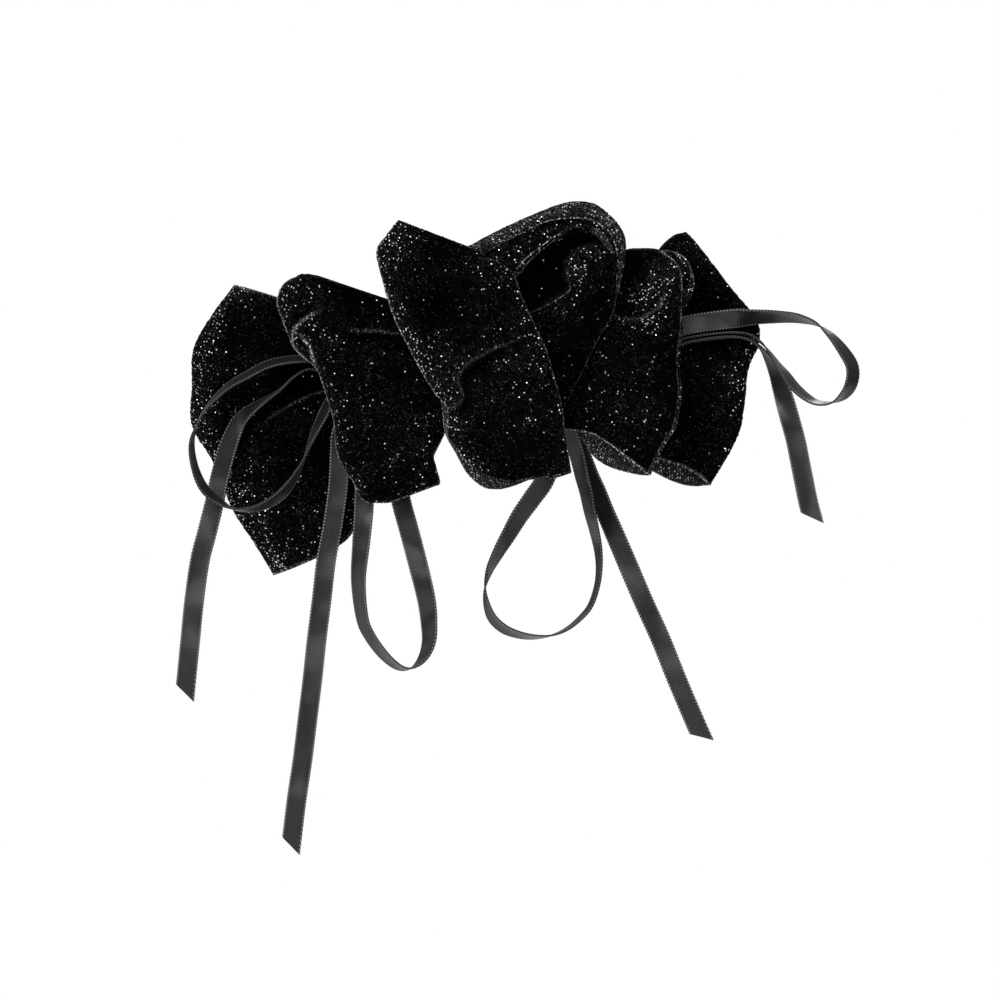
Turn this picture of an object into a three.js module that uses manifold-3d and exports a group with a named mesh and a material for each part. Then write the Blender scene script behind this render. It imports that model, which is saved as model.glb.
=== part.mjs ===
// A hair bow: six folded glitter-velvet loops and two narrow satin bows, sewn to a sprung hair clip.
// Millimetres, +Z up. The bow faces -Y and the hair side of the clip faces +Y.
// The origin is the middle of the base plate's flat seat, on the hair side.
import * as THREE from 'three';
import { mergeVertices } from 'three/addons/utils/BufferGeometryUtils.js';
import Module from 'manifold-3d';

const wasm = await Module();
wasm.setup();

// Clip: an arched plate whose ends curve towards the head.
const ARCH_RADIUS = 160;
const SEAT_HALF = 6;
const PLATE_HALF = 45;
const PLATE_WIDTH = 9;
const PLATE_THICKNESS = 0.8;
const STRIP_STEP = 3;
const GAP = 0.3;

// Clasp arm, nearly straight, pinned at the +X end.
const ARM_STANDOFF = 8;
const ARM_RISE = 0.15;
const ARM_THICKNESS = 0.9;
const ARM_WIDTH = 6;
const ARM_SLOT_HALF = 32;
const ARM_SLOT_WIDTH = 2.6;
const PIN_X = 42.5;
const PIN_Y = 8.9;
const PIN_RADIUS = 0.6;
const PIN_BORE = 0.95;
const BARREL_RADIUS = 1.6;
const EAR_THICKNESS = 0.8;

// Catch: two sprung prongs that stand through the window in the arm's end.
const CATCH_X = -42;
const PRONG_LENGTH = 2.8;
const PRONG_INNER = 1.3;
const PRONG_THICKNESS = 0.7;
const PRONG_FOOT_Y = 4.75;
const PRONG_TOP_Y = 11;
const HOOK_REACH = 0.5;
const TAB_Y = 5.6;
const TAB_OUTER = 6.2;
const WINDOW_LENGTH = 5.2;
const WINDOW_HALF = 2.9;

// Tension leaf: a thin bowed spring riveted to the plate near the hinge.
const LEAF_FROM = -34;
const LEAF_TO = 36;
const LEAF_BOW = 2.2;
const LEAF_THICKNESS = 0.5;
const LEAF_WIDTH = 5;
const RIVET_X = 33;
const RIVET_SHANK = 0.9;
const RIVET_HOLE = 1.25;
const RIVET_HEAD = 1.9;
const RIVET_TAIL = 1.3;

// Felt and thread between the clip and the bow.
const FELT_TOP = 2.1;
const FELT_THICKNESS = 1.4;
const FELT_WIDTH = 12;
const WRAP_X = 18;
const WRAP_LENGTH = 3;
const WRAP_THICKNESS = 0.7;

// Satin ribbon, and the knots that it is tied in.
const RIBBON_WIDTH = 6;
const RIBBON_THICKNESS = 0.6;
const STEPS_PER_SPAN = 3;
const KNOT_RADIUS = 4.2;

const finish = {
  steel: new THREE.MeshStandardMaterial({ color: 0xb8bbc0, roughness: 0.3, metalness: 1 }),
  felt: new THREE.MeshStandardMaterial({ color: 0x101011, roughness: 1 }),
  thread: new THREE.MeshStandardMaterial({ color: 0x19191b, roughness: 0.8 }),
  velvet: new THREE.MeshStandardMaterial({ color: 0x0b0b0e, roughness: 0.95 }),
  satin: new THREE.MeshStandardMaterial({ color: 0x303033, roughness: 0.42 }),
};

const bow = new THREE.Group();

function addPart(name, geometry, material) {
  const mesh = new THREE.Mesh(geometry, material);
  mesh.name = name;
  bow.add(mesh);
  return mesh;
}

// Booleans.
function toSolid(geometry) {
  const plain = geometry.clone();
  plain.deleteAttribute('normal');
  plain.deleteAttribute('uv');
  const merged = mergeVertices(plain, 1e-4);
  return new wasm.Manifold(new wasm.Mesh({
    numProp: 3,
    vertProperties: new Float32Array(merged.attributes.position.array),
    triVerts: new Uint32Array(merged.index.array),
  }));
}

function toGeometry(solid) {
  const mesh = solid.getMesh();
  const geometry = new THREE.BufferGeometry();
  geometry.setAttribute('position', new THREE.BufferAttribute(new Float32Array(mesh.vertProperties), 3));
  geometry.setIndex(new THREE.BufferAttribute(new Uint32Array(mesh.triVerts), 1));
  geometry.computeVertexNormals();
  return geometry;
}

function join(geometries) {
  return geometries.map(toSolid).reduce((whole, piece) => whole.add(piece));
}

function boxBetween(low, high) {
  const size = high.map((value, i) => value - low[i]);
  const geometry = new THREE.BoxGeometry(...size);
  return geometry.translate(...low.map((value, i) => value + size[i] / 2));
}

// A cylinder along Z or along Y, centred on the point given.
function rod(radius, length, centre, axis, sides = 20) {
  const geometry = new THREE.CylinderGeometry(radius, radius, length, sides);
  if (axis === 'z') geometry.rotateX(Math.PI / 2);
  return geometry.translate(...centre);
}

// The arch: flat over the seat, then rising towards both ends.
function arch(x) {
  return Math.max(0, Math.abs(x) - SEAT_HALF) ** 2 / (2 * ARCH_RADIUS);
}

// A strip that follows a height function of x, with the width along Z.
function strip(fromX, toX, height, thickness, width) {
  const stations = [fromX];
  for (let x = Math.ceil(fromX / STRIP_STEP) * STRIP_STEP; x < toX; x += STRIP_STEP) {
    const inSeat = Math.abs(x) < SEAT_HALF;
    if (x > fromX && !inSeat) stations.push(x);
  }
  stations.push(toX);
  const upper = stations.map((x) => new THREE.Vector2(x, height(x) + thickness));
  const lower = stations.map((x) => new THREE.Vector2(x, height(x))).reverse();
  const geometry = new THREE.ExtrudeGeometry(new THREE.Shape([...upper, ...lower]), {
    depth: width,
    bevelEnabled: false,
  });
  return geometry.translate(0, 0, -width / 2);
}

const armHeight = (x) => ARM_STANDOFF + ARM_RISE * arch(x);
const leafMiddle = (LEAF_FROM + LEAF_TO) / 2;
const leafHalf = (LEAF_TO - LEAF_FROM) / 2;
const leafHeight = (x) => arch(x) + 0.35 + LEAF_BOW * (1 - ((x - leafMiddle) / leafHalf) ** 2);

function makeBasePlate() {
  const plate = strip(-PLATE_HALF, PLATE_HALF, (x) => arch(x) - PLATE_THICKNESS, PLATE_THICKNESS, PLATE_WIDTH);
  const earFoot = arch(PIN_X) - PLATE_THICKNESS / 2;
  const half = PLATE_WIDTH / 2;
  const ears = [-half, half - EAR_THICKNESS].map((z) => boxBetween(
    [PIN_X - 2, earFoot, z],
    [PIN_X + 2, PIN_Y + 1.8, z + EAR_THICKNESS],
  ));
  const catchLug = boxBetween([CATCH_X - 1, arch(CATCH_X) - 0.5, -1], [CATCH_X + 1, PRONG_FOOT_Y + 1.5, 1]);
  const pinBore = rod(PIN_BORE, PLATE_WIDTH * 2, [PIN_X, PIN_Y, 0], 'z');
  const rivetHole = rod(RIVET_HOLE, 6, [RIVET_X, arch(RIVET_X), 0], 'y');
  return join([plate, ...ears, catchLug]).subtract(toSolid(pinBore)).subtract(toSolid(rivetHole));
}

function makeClaspArm() {
  const endX = CATCH_X - WINDOW_LENGTH / 2 - 1.9;
  const rail = strip(endX, PIN_X - 0.8, armHeight, ARM_THICKNESS, ARM_WIDTH);
  const headEdge = CATCH_X + WINDOW_LENGTH / 2 + 1.9;
  const head = strip(endX, headEdge, armHeight, ARM_THICKNESS, 2 * WINDOW_HALF + 3);
  const barrel = rod(BARREL_RADIUS, ARM_WIDTH, [PIN_X, PIN_Y, 0], 'z');
  const window = boxBetween(
    [CATCH_X - WINDOW_LENGTH / 2, ARM_STANDOFF - 2, -WINDOW_HALF],
    [CATCH_X + WINDOW_LENGTH / 2, ARM_STANDOFF + 5, WINDOW_HALF],
  );
  const slot = boxBetween(
    [-ARM_SLOT_HALF, ARM_STANDOFF - 2, -ARM_SLOT_WIDTH / 2],
    [ARM_SLOT_HALF, ARM_STANDOFF + 5, ARM_SLOT_WIDTH / 2],
  );
  const pinBore = rod(PIN_BORE, ARM_WIDTH * 2, [PIN_X, PIN_Y, 0], 'z');
  return join([rail, head, barrel])
    .subtract(toSolid(window))
    .subtract(toSolid(slot))
    .subtract(toSolid(pinBore));
}

function makeTensionLeaf() {
  const leaf = strip(LEAF_FROM, LEAF_TO, leafHeight, LEAF_THICKNESS, LEAF_WIDTH);
  return toSolid(leaf).subtract(toSolid(rod(RIVET_HOLE, 6, [RIVET_X, leafHeight(RIVET_X), 0], 'y')));
}

function makeRivet() {
  const headFoot = leafHeight(RIVET_X) + LEAF_THICKNESS + GAP;
  const tailTop = arch(RIVET_X) - PLATE_THICKNESS - GAP;
  const shankLength = headFoot - tailTop + 0.4;
  const shank = rod(RIVET_SHANK, shankLength, [RIVET_X, (headFoot + tailTop) / 2, 0], 'y');
  const head = rod(RIVET_HEAD, 0.6, [RIVET_X, headFoot + 0.3, 0], 'y');
  const tail = rod(RIVET_TAIL, 0.4, [RIVET_X, tailTop - 0.2, 0], 'y');
  return join([shank, head, tail]);
}

// side is +1 for the upper prong and -1 for the lower one.
function makeProng(side) {
  const half = PRONG_LENGTH / 2;
  const span = (nearZ, farZ) => [Math.min(side * nearZ, side * farZ), Math.max(side * nearZ, side * farZ)];
  const block = (halfLength, lowY, highY, nearZ, farZ) => {
    const [lowZ, highZ] = span(nearZ, farZ);
    return boxBetween([CATCH_X - halfLength, lowY, lowZ], [CATCH_X + halfLength, highY, highZ]);
  };
  const outer = PRONG_INNER + PRONG_THICKNESS;
  const blade = block(half, PRONG_FOOT_Y, PRONG_TOP_Y, PRONG_INNER, outer);
  const hook = block(half, PRONG_TOP_Y - 0.8, PRONG_TOP_Y, PRONG_INNER + 0.2, outer + HOOK_REACH);
  const tab = block(half - 0.2, TAB_Y, TAB_Y + 0.8, PRONG_INNER + 0.2, TAB_OUTER - 0.6);
  const pad = block(half, TAB_Y - 0.6, TAB_Y + 1.4, TAB_OUTER - 0.8, TAB_OUTER);
  return join([blade, hook, tab, pad]);
}

// A band of thread turns round the plate and the felt.
function makeThreadWrap(x) {
  const low = arch(x) - FELT_TOP - FELT_THICKNESS - 0.45;
  const high = arch(x) + 0.4;
  const half = FELT_WIDTH / 2 + 0.4;
  const rectangle = (grow) => [
    new THREE.Vector2(-half - grow, low - grow),
    new THREE.Vector2(half + grow, low - grow),
    new THREE.Vector2(half + grow, high + grow),
    new THREE.Vector2(-half - grow, high + grow),
  ];
  const outline = new THREE.Shape(rectangle(WRAP_THICKNESS));
  outline.holes.push(new THREE.Path(rectangle(0)));
  const geometry = new THREE.ExtrudeGeometry(outline, { depth: WRAP_LENGTH, bevelEnabled: false });
  geometry.rotateY(Math.PI / 2);
  return geometry.translate(x - WRAP_LENGTH / 2, 0, 0);
}

addPart('base_plate', toGeometry(makeBasePlate()), finish.steel);
addPart('hinge_pin', rod(PIN_RADIUS, PLATE_WIDTH + 1, [PIN_X, PIN_Y, 0], 'z', 16), finish.steel);
addPart('clasp_arm', toGeometry(makeClaspArm()), finish.steel);
addPart('tension_leaf', toGeometry(makeTensionLeaf()), finish.steel);
addPart('leaf_rivet', toGeometry(makeRivet()), finish.steel);
addPart('catch_prong_upper', toGeometry(makeProng(1)), finish.steel);
addPart('catch_prong_lower', toGeometry(makeProng(-1)), finish.steel);
addPart(
  'felt_backing',
  strip(-PLATE_HALF + 1, PLATE_HALF - 1, (x) => arch(x) - FELT_TOP - FELT_THICKNESS, FELT_THICKNESS, FELT_WIDTH),
  finish.felt,
);
addPart('thread_wrap_left', makeThreadWrap(-WRAP_X), finish.thread);
addPart('thread_wrap_right', makeThreadWrap(WRAP_X), finish.thread);

// Velvet loops: each outline is (x, z), and the loop fills the depth from back to front along Y.
const VELVET_LOOPS = [
  {
    name: 'velvet_loop_far_left',
    back: -6.5,
    front: -16,
    outline: [
      [-75, 30.5], [-86, 11.5], [-86.5, -12.5], [-80, -24], [-73.5, -38.5], [-61.5, -58.5], [-48.5, -54],
      [-37.5, -47], [-27, -29.5], [-23, -5], [-31, 19.5], [-47, 24], [-60, 26.5],
    ],
  },
  {
    name: 'velvet_loop_left',
    back: -24.5,
    front: -38,
    outline: [
      [-55.5, 32.5], [-58, 28], [-57.5, 19], [-55, 11.5], [-49.5, 7], [-46, -0.5], [-42, -14.5], [-37.5, -26],
      [-34.5, -34], [-30, -36.5], [-19, -33.5], [-10.5, -30.5], [-13, -22], [-9, -16], [-4.5, -7], [-6.5, 7],
      [-13, 19], [-26.5, 26], [-49.5, 33],
    ],
  },
  {
    name: 'velvet_loop_front',
    back: -40.3,
    front: -54,
    outline: [
      [-23, 48.5], [-28.5, 40.5], [-28, 30.5], [-23.5, 15.5], [-14.5, 0.5], [-7.5, -9], [-8, -16.5],
      [-3.5, -23.5], [2, -29.5], [6.5, -31.5], [17, -30], [25, -29], [29.5, -26.5], [29.5, -17.5],
      [26.5, -9], [23.5, 3.5], [20, 14], [16.5, 23], [11.5, 30.5], [1.5, 39], [-13, 45],
    ],
  },
  {
    name: 'velvet_loop_centre',
    back: -30.8,
    front: -40,
    outline: [
      [-1.5, 41.5], [8, 48.5], [24.5, 53], [35, 54], [42, 50.5], [45.5, 43], [45, 34.5], [42.5, 22],
      [36.5, 12], [28.5, -2.5], [21.5, -7], [12.5, -2.5], [5, 13], [-1.5, 31],
    ].reverse(),
  },
  {
    name: 'velvet_loop_right',
    back: -24.5,
    front: -30.5,
    outline: [
      [46, 40], [56, 40.5], [65, 36.5], [67, 31], [66, 25.5], [63, 18.5], [62, 9.5], [62.5, -2.5],
      [61.5, -10.5], [56.5, -20.5], [52.5, -28.5], [42.5, -21], [36, -16], [32.5, -12], [32, 2],
      [35, 14], [38.5, 28], [42, 36.5],
    ].reverse(),
  },
  {
    name: 'velvet_loop_far_right',
    back: -6.5,
    front: -16,
    outline: [
      [57.5, 41.5], [65, 46], [66.5, 44.5], [72, 37.5], [85, 23], [87.5, 17], [87, 11], [83.5, 0],
      [82, -7.5], [81, -14], [78.5, -20], [73.5, -31.5], [66, -31], [55, -26.5], [41.5, -17],
      [38.5, -5], [40, 16.5], [46, 35],
    ].reverse(),
  },
];

// A flat-faced body with the outline (x, z), from y = back forwards to y = front.
function slab(outline, back, front) {
  const shape = new THREE.Shape(outline.map(([x, z]) => new THREE.Vector2(x, z)));
  const geometry = new THREE.ExtrudeGeometry(shape, { depth: back - front, bevelEnabled: false });
  geometry.rotateX(Math.PI / 2);
  return geometry.translate(0, back, 0);
}

for (const loop of VELVET_LOOPS) {
  addPart(loop.name, slab(loop.outline, loop.back, loop.front), finish.velvet);
}
addPart(
  'velvet_gather_core',
  slab([[-22.5, -8], [-18, -12], [12, -12], [16, -8], [16, 6], [12, 10], [-18, 10], [-22.5, 6]], -4.25, -24.2),
  finish.velvet,
);

function knot(centre) {
  const geometry = new THREE.SphereGeometry(KNOT_RADIUS, 14, 10);
  geometry.scale(1, 0.9, 1);
  return geometry.translate(...centre);
}

addPart('satin_knot_left', knot([-32, -20.2, -3]), finish.satin);
addPart('satin_knot_right', knot([24.5, -20.2, -5]), finish.satin);

// Satin ribbon routes: x, y, z and roll in degrees. At roll 0 the ribbon's face looks along Y,
// and at 90 it stands on edge.
const RIBBON_ROUTES = {
  satin_loop_left_outer: [
    [-36.8, -20.2, 1.5, 82], [-42.5, -20.2, 5.5, 78], [-48, -20.2, 7.2, 72], [-54.7, -20.4, 7.4, 68],
    [-62.3, -21, 6, 66], [-69, -22, 2.6, 67], [-75.5, -23, -1.4, 72], [-81.4, -24, -7.6, 81],
    [-84.4, -24.5, -13, 88], [-85.8, -24.5, -18.5, 100], [-85, -24.5, -25, 106], [-82.5, -24.5, -31.2, 113],
    [-78.7, -24.3, -35, 113], [-73.3, -24, -38.1, 90], [-67.8, -23.5, -38.3, 77], [-62.9, -23, -36.7, 66],
    [-58.6, -22.5, -33.8, 62], [-54.8, -22, -29.1, 72], [-52, -21.6, -23.6, 89], [-50.2, -21.3, -18.8, 102],
    [-48, -21, -13.8, 113], [-45.8, -20.8, -9.2, 122], [-43.8, -20.6, -5, 116], [-41, -20.4, -2.8, 100],
    [-37, -20.2, -3.6, 92],
  ],
  satin_tail_left_outer: [
    [-37, -20.2, -1, 88], [-42, -20.2, 1.4, 90], [-47, -20.2, 3.6, 90], [-50.5, -20.2, 4.4, 89],
    [-54.8, -20.2, 2.1, 87], [-59, -20, -1.7, 84], [-63.4, -20, -4.8, 75], [-67.8, -19.8, -7.8, 58],
    [-71.4, -19.6, -11.1, 42], [-73.5, -19.3, -15.3, 30], [-75.4, -19, -20.1, 18], [-76.7, -19, -25, 18],
    [-77.9, -19, -29.9, 18], [-79.1, -19, -35.9, 12], [-81.3, -19.5, -45, 4], [-83.5, -20.5, -53.8, 0],
    [-85.2, -21.5, -66, 0], [-86.4, -22, -78.2, 0], [-88, -22, -94.4, 0],
  ],
  satin_tail_left_inner: [
    [-37.6, -20.6, -6.9, 20], [-39.4, -20.4, -11.5, 8], [-40.6, -20.2, -16, 0], [-40.9, -20, -20.3, 0],
    [-41.4, -20, -31.2, 0], [-43.2, -20, -44, 0], [-45, -20.5, -53.8, 0], [-46.4, -21, -66, 0],
    [-47.9, -21.5, -78.2, 0], [-49.2, -22, -90.4, 0], [-50.7, -22, -102.6, 0], [-52.2, -22, -114.8, 0],
    [-54, -22, -127, 0], [-55.7, -22, -141, 0],
  ],
  satin_loop_left_inner: [
    [-33.2, -19, -8.2, 10], [-33.5, -19, -16, 8], [-33.3, -19, -26, 8], [-33.5, -19.2, -37, 8],
    [-34.4, -19.6, -48.9, 26], [-35.2, -20, -60.2, 42], [-34, -20.6, -71.5, 51], [-31.6, -21, -77.2, 55],
    [-27.4, -21.5, -82.8, 60], [-23, -22, -86.3, 70], [-19, -22.4, -86.6, 90], [-15.6, -22.7, -83.6, 116],
    [-13.7, -23, -78.8, 134], [-13.6, -23, -73.2, 146], [-14.4, -23, -65.9, 158],
    [-17.1, -22.6, -54.6, 170], [-20.1, -22.2, -43.3, 175], [-21.7, -22, -37.6, 178],
    [-24, -21.8, -28, 180], [-27, -21.8, -18, 180], [-30.5, -21.8, -8.4, 180],
  ],
  satin_loop_right_inner: [
    [24.6, -21, -10.2, 170], [24.8, -21, -19.5, 170], [21.8, -21, -29, 168], [17.9, -20.8, -34.9, 160],
    [14, -20.8, -40.4, 150], [10.6, -21, -46.2, 138], [7.4, -21.3, -51.7, 125], [4.6, -21.6, -57.5, 108],
    [3.4, -22, -63.5, 85], [5, -22.2, -70.4, 65], [8.6, -22.4, -74.4, 62], [13.2, -22.6, -76.4, 68],
    [18.3, -22.8, -77.2, 77], [23.7, -23, -76.7, 89], [28.3, -23.2, -74.8, 96], [32.4, -23.4, -71.5, 100],
    [35.6, -23.5, -67.5, 102], [37.6, -23.6, -61.4, 103], [38.2, -23.7, -55.6, 106],
    [37.8, -23.7, -50.1, 112], [36.6, -23.7, -44.3, 118], [35.3, -23.6, -38.8, 124],
    [34.2, -23.6, -33.1, 129], [33, -23.6, -28.5, 132], [31.4, -23.6, -21.8, 138],
    [29.6, -23.6, -16.6, 146], [26.6, -23.4, -10.4, 160],
  ],
  satin_tail_right_inner: [
    [28.8, -19.6, -12.2, 24], [31.2, -19.5, -17.2, 25], [33.2, -19.5, -22.4, 26],
    [35.6, -19.5, -28.5, 26], [37.7, -19.5, -33.1, 25], [40, -19.5, -38.9, 22], [42.5, -19.5, -44.7, 17],
    [46.4, -19.8, -53.8, 8], [51.6, -20.4, -66, 0], [57.1, -21, -78.2, 0], [62, -21.5, -90.4, 0],
    [67.2, -22, -102.6, 0], [69.5, -22, -107.8, 0],
  ],
  satin_loop_right_outer: [
    [29.2, -19.6, -1.6, 60], [35.5, -18.4, 2.8, 20], [44.5, -17.8, 9.2, 5], [54.5, -17.8, 14.6, 0],
    [63.2, -17.8, 17.4, 0], [69.6, -17.8, 18.7, 0], [78.2, -18.2, 19.8, 8], [84.6, -19.4, 20.3, 40],
    [91, -20.4, 20.4, 52], [97.4, -21.2, 20.1, 63], [101.6, -21.8, 19.2, 75], [104.7, -22.2, 18, 88],
    [107.3, -22.6, 16, 104], [109.9, -23, 13.4, 116], [112.8, -23.4, 9.6, 127], [115, -23.8, 5.8, 132],
    [115.4, -24, 2.2, 133], [114.3, -24.2, -1.4, 128], [112, -24.4, -4.1, 112], [108.6, -24.4, -5.9, 87],
    [104.7, -24.2, -5.9, 75], [101.3, -24, -4.2, 65], [97.9, -23.6, -1.2, 60], [95.2, -23, 2.4, 62],
    [92.7, -22.2, 5.8, 72], [90.2, -21.2, 9.6, 82], [87.6, -20.2, 12.6, 90], [84.2, -19.6, 14.9, 90],
    [80.6, -19.5, 15.6, 88], [75.7, -19.5, 15.5, 88], [69, -19.5, 14.7, 88], [63.2, -19.5, 13.4, 88],
    [53.5, -19.5, 9.4, 88], [42, -19.8, 1.8, 88], [29.6, -20, -4.6, 88],
  ],
  satin_tail_right_outer: [
    [29.5, -20, -6.9, 88], [41, -19.8, -1, 88], [53, -19.5, 6.9, 88], [63.2, -19.5, 11.9, 88],
    [69, -19.5, 13.3, 88], [75.7, -19.5, 14.1, 88], [80.6, -19.5, 14.2, 90], [84.6, -19.4, 13.1, 90],
    [87.9, -18.8, 10.7, 86], [90.3, -17.7, 7.2, 70], [92.4, -16.7, 2.8, 52], [94.3, -16.8, -2.5, 28],
    [96.6, -17.8, -10.8, 8], [98.3, -18.4, -17.2, 0], [99.5, -19, -23.3, 0], [100.7, -19.5, -29.4, 0],
    [101.9, -20, -35.5, 0], [103.3, -20, -41, 0],
  ],
};

// A flat ribbon along its route: a smooth curve through the points, turned by the roll.
function ribbon(route) {
  const curve = new THREE.CatmullRomCurve3(
    route.map(([x, y, z]) => new THREE.Vector3(x, y, z)),
    false,
    'catmullrom',
    0.5,
  );
  const spans = route.length - 1;
  const perSpan = Math.max(1, Math.min(STEPS_PER_SPAN, Math.floor(78 / spans)));
  const steps = spans * perSpan;
  const depthAxis = new THREE.Vector3(0, 1, 0);
  const positions = [];
  for (let i = 0; i <= steps; i += 1) {
    const u = i / steps;
    const centre = curve.getPoint(u);
    const tangent = curve.getTangent(u);
    const span = Math.min(spans - 1, Math.floor(u * spans));
    const roll = THREE.MathUtils.lerp(route[span][3], route[span + 1][3], u * spans - span);
    const angle = THREE.MathUtils.degToRad(roll);
    const deep = depthAxis.clone().addScaledVector(tangent, -tangent.y).normalize();
    const across = deep.clone().cross(tangent);
    const wide = across.clone().multiplyScalar(Math.cos(angle)).addScaledVector(deep, Math.sin(angle));
    const thick = tangent.clone().cross(wide);
    for (const [w, t] of [[-1, -1], [1, -1], [1, 1], [-1, 1]]) {
      const corner = centre.clone()
        .addScaledVector(wide, (w * RIBBON_WIDTH) / 2)
        .addScaledVector(thick, (t * RIBBON_THICKNESS) / 2);
      positions.push(corner.x, corner.y, corner.z);
    }
  }
  const faces = [];
  const quad = (a, b, c, d) => faces.push(a, b, c, a, c, d);
  for (let i = 0; i < steps; i += 1) {
    for (let side = 0; side < 4; side += 1) {
      const next = (side + 1) % 4;
      quad(4 * i + side, 4 * i + next, 4 * i + 4 + next, 4 * i + 4 + side);
    }
  }
  quad(3, 2, 1, 0);
  quad(4 * steps, 4 * steps + 1, 4 * steps + 2, 4 * steps + 3);
  const geometry = new THREE.BufferGeometry();
  geometry.setAttribute('position', new THREE.Float32BufferAttribute(positions, 3));
  geometry.setIndex(faces);
  geometry.computeVertexNormals();
  return geometry;
}

for (const [name, route] of Object.entries(RIBBON_ROUTES)) {
  addPart(name, ribbon(route), finish.satin);
}

export default bow;
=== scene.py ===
# A hair bow: folded glitter-velvet loops and narrow satin ribbons, sewn to a sprung hair clip.
# Metres, in the CAD frame: +X right, +Z up, the bow faces -Y and the clip's hair side faces +Y.
import math

import bmesh
import bpy
import numpy as np
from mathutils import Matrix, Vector


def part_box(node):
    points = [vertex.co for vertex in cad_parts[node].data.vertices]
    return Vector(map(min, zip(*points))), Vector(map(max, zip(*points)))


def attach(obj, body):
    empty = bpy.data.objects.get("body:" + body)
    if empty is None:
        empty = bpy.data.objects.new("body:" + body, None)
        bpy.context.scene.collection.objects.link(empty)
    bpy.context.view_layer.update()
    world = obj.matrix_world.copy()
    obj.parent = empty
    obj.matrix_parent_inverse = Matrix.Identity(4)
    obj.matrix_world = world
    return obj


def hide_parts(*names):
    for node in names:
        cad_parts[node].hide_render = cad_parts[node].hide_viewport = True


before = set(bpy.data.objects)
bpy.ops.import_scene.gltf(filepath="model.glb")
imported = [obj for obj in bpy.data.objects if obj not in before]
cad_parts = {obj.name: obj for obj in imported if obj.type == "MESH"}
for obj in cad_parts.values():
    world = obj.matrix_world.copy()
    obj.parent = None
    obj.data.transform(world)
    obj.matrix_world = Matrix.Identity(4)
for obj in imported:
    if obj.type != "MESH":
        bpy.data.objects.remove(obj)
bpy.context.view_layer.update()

MM = 0.001
BODY = "bow_and_plate"

# Camera: level with the bow, far off, with a long lens.
CAMERA_AT = (0.008, -1.6, -0.0355)
SENSOR = 36
VIEW_WIDTH = 0.309

FLOOR_HALF = 2
FLOOR_Z = -0.45
LIGHTS_AIM = (0, 0, -0.02)

# Satin ribbon.
RIBBON_WIDTH = 0.006
RIBBON_THICKNESS = 0.0003
RIBBON_STEP = 0.00025
PICOT_PITCH = 0.001
PICOT_DEPTH = 0.00009
CUT_SLANT = 0.8
CUT_REACH = 0.008
# The dotted woven edge lies between these distances from the middle line.
EDGE_FROM = 0.00247
EDGE_TO = 0.00294

# Velvet, in mm.
VELVET_THICKNESS = 0.9
SELVEDGE = 0.4
TUFT = 0.09
RIPPLES = 6
FOLD_WIDTH = 0.6
RIM_BULGE = 0.25
FLAKE_CELL = 0.75
SPECK_CELL = 0.45
WOVEN_CELL = 0.46
PILE_CELL = 0.33

UV_PER_METRE = 10

# Clip, in the sizes of the CAD plate.
ARCH_RADIUS = 160
SEAT_HALF = 6
FELT_THICKNESS = 1.4
FELT_MIDDLE = 2.8
FELT_FRONT = 3.55
THREAD_RADIUS = 0.24
THREAD_TURNS = 6
STITCH_RADIUS = 0.16
STITCHES = 20
STITCHED_HALF = 41

# How the gathered core lies on the felt and the thread bands.
BACK_BULGE = 1.3
BAND_X = 0.018
BAND_PROUD = 0.0012
PRESSED = 0.0005


# --- Meshes -----------------------------------------------------------------------------------

def build(name, points, faces, materials, face_slots=None, uv=None, values=None):
    """A smooth mesh piece from points in metres, riding on the bow."""
    mesh = bpy.data.meshes.new(name)
    mesh.from_pydata(np.asarray(points).tolist(), [], faces)
    for material in materials:
        mesh.materials.append(material)
    if face_slots is not None:
        mesh.polygons.foreach_set("material_index", np.asarray(face_slots, np.int32))
    mesh.polygons.foreach_set("use_smooth", [True] * len(mesh.polygons))
    if uv is not None:
        corners = np.zeros(len(mesh.loops), np.int32)
        mesh.loops.foreach_get("vertex_index", corners)
        layer = mesh.uv_layers.new(name="cloth")
        layer.data.foreach_set("uv", np.asarray(uv, np.float32)[corners].ravel())
    for key, amounts in (values or {}).items():
        attribute = mesh.attributes.new(key, "FLOAT", "POINT")
        attribute.data.foreach_set("value", np.asarray(amounts, np.float32).ravel())
    square_up(mesh)
    piece = bpy.data.objects.new(name, mesh)
    bpy.context.scene.collection.objects.link(piece)
    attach(piece, BODY)
    return piece


def square_up(mesh):
    """Turns every face of a closed mesh to look outwards."""
    work = bmesh.new()
    work.from_mesh(mesh)
    bmesh.ops.recalc_face_normals(work, faces=work.faces)
    work.to_mesh(mesh)
    work.free()


def skin_faces(rings, sides):
    """Faces round a stack of rings, with a cap at each end."""
    last = (rings - 1) * sides
    faces = []
    for a in range(0, last, sides):
        for j in range(sides):
            k = (j + 1) % sides
            faces.append((a + j, a + k, a + sides + k, a + sides + j))
    faces.append(tuple(range(sides - 1, -1, -1)))
    faces.append(tuple(range(last, last + sides)))
    return faces


def spline(a, b, c, d, t):
    """The point at t from b to c, on the smooth curve through a, b, c and d."""
    return 0.5 * (2 * b + (c - a) * t + (2 * a - 5 * b + 4 * c - d) * t**2 + (3 * b - a - 3 * c + d) * t**3)


def carried_on(p):
    """The points, with one more past each end."""
    return np.concatenate([2 * p[:1] - p[1:2], p, 2 * p[-1:] - p[-2:-1]])


def travelled(line):
    """How far along the line each of its points is."""
    return np.concatenate([[0], np.cumsum(np.linalg.norm(np.diff(line, axis=0), axis=1))])


def dense_line(points, per_span):
    """Close points on the smooth line through the points."""
    p = carried_on(np.asarray(points, float))
    t = np.linspace(0, 1, per_span, endpoint=False)[:, None]
    return np.vstack([spline(*span, t) for span in zip(p, p[1:], p[2:], p[3:])] + [p[-2:-1]])


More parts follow.
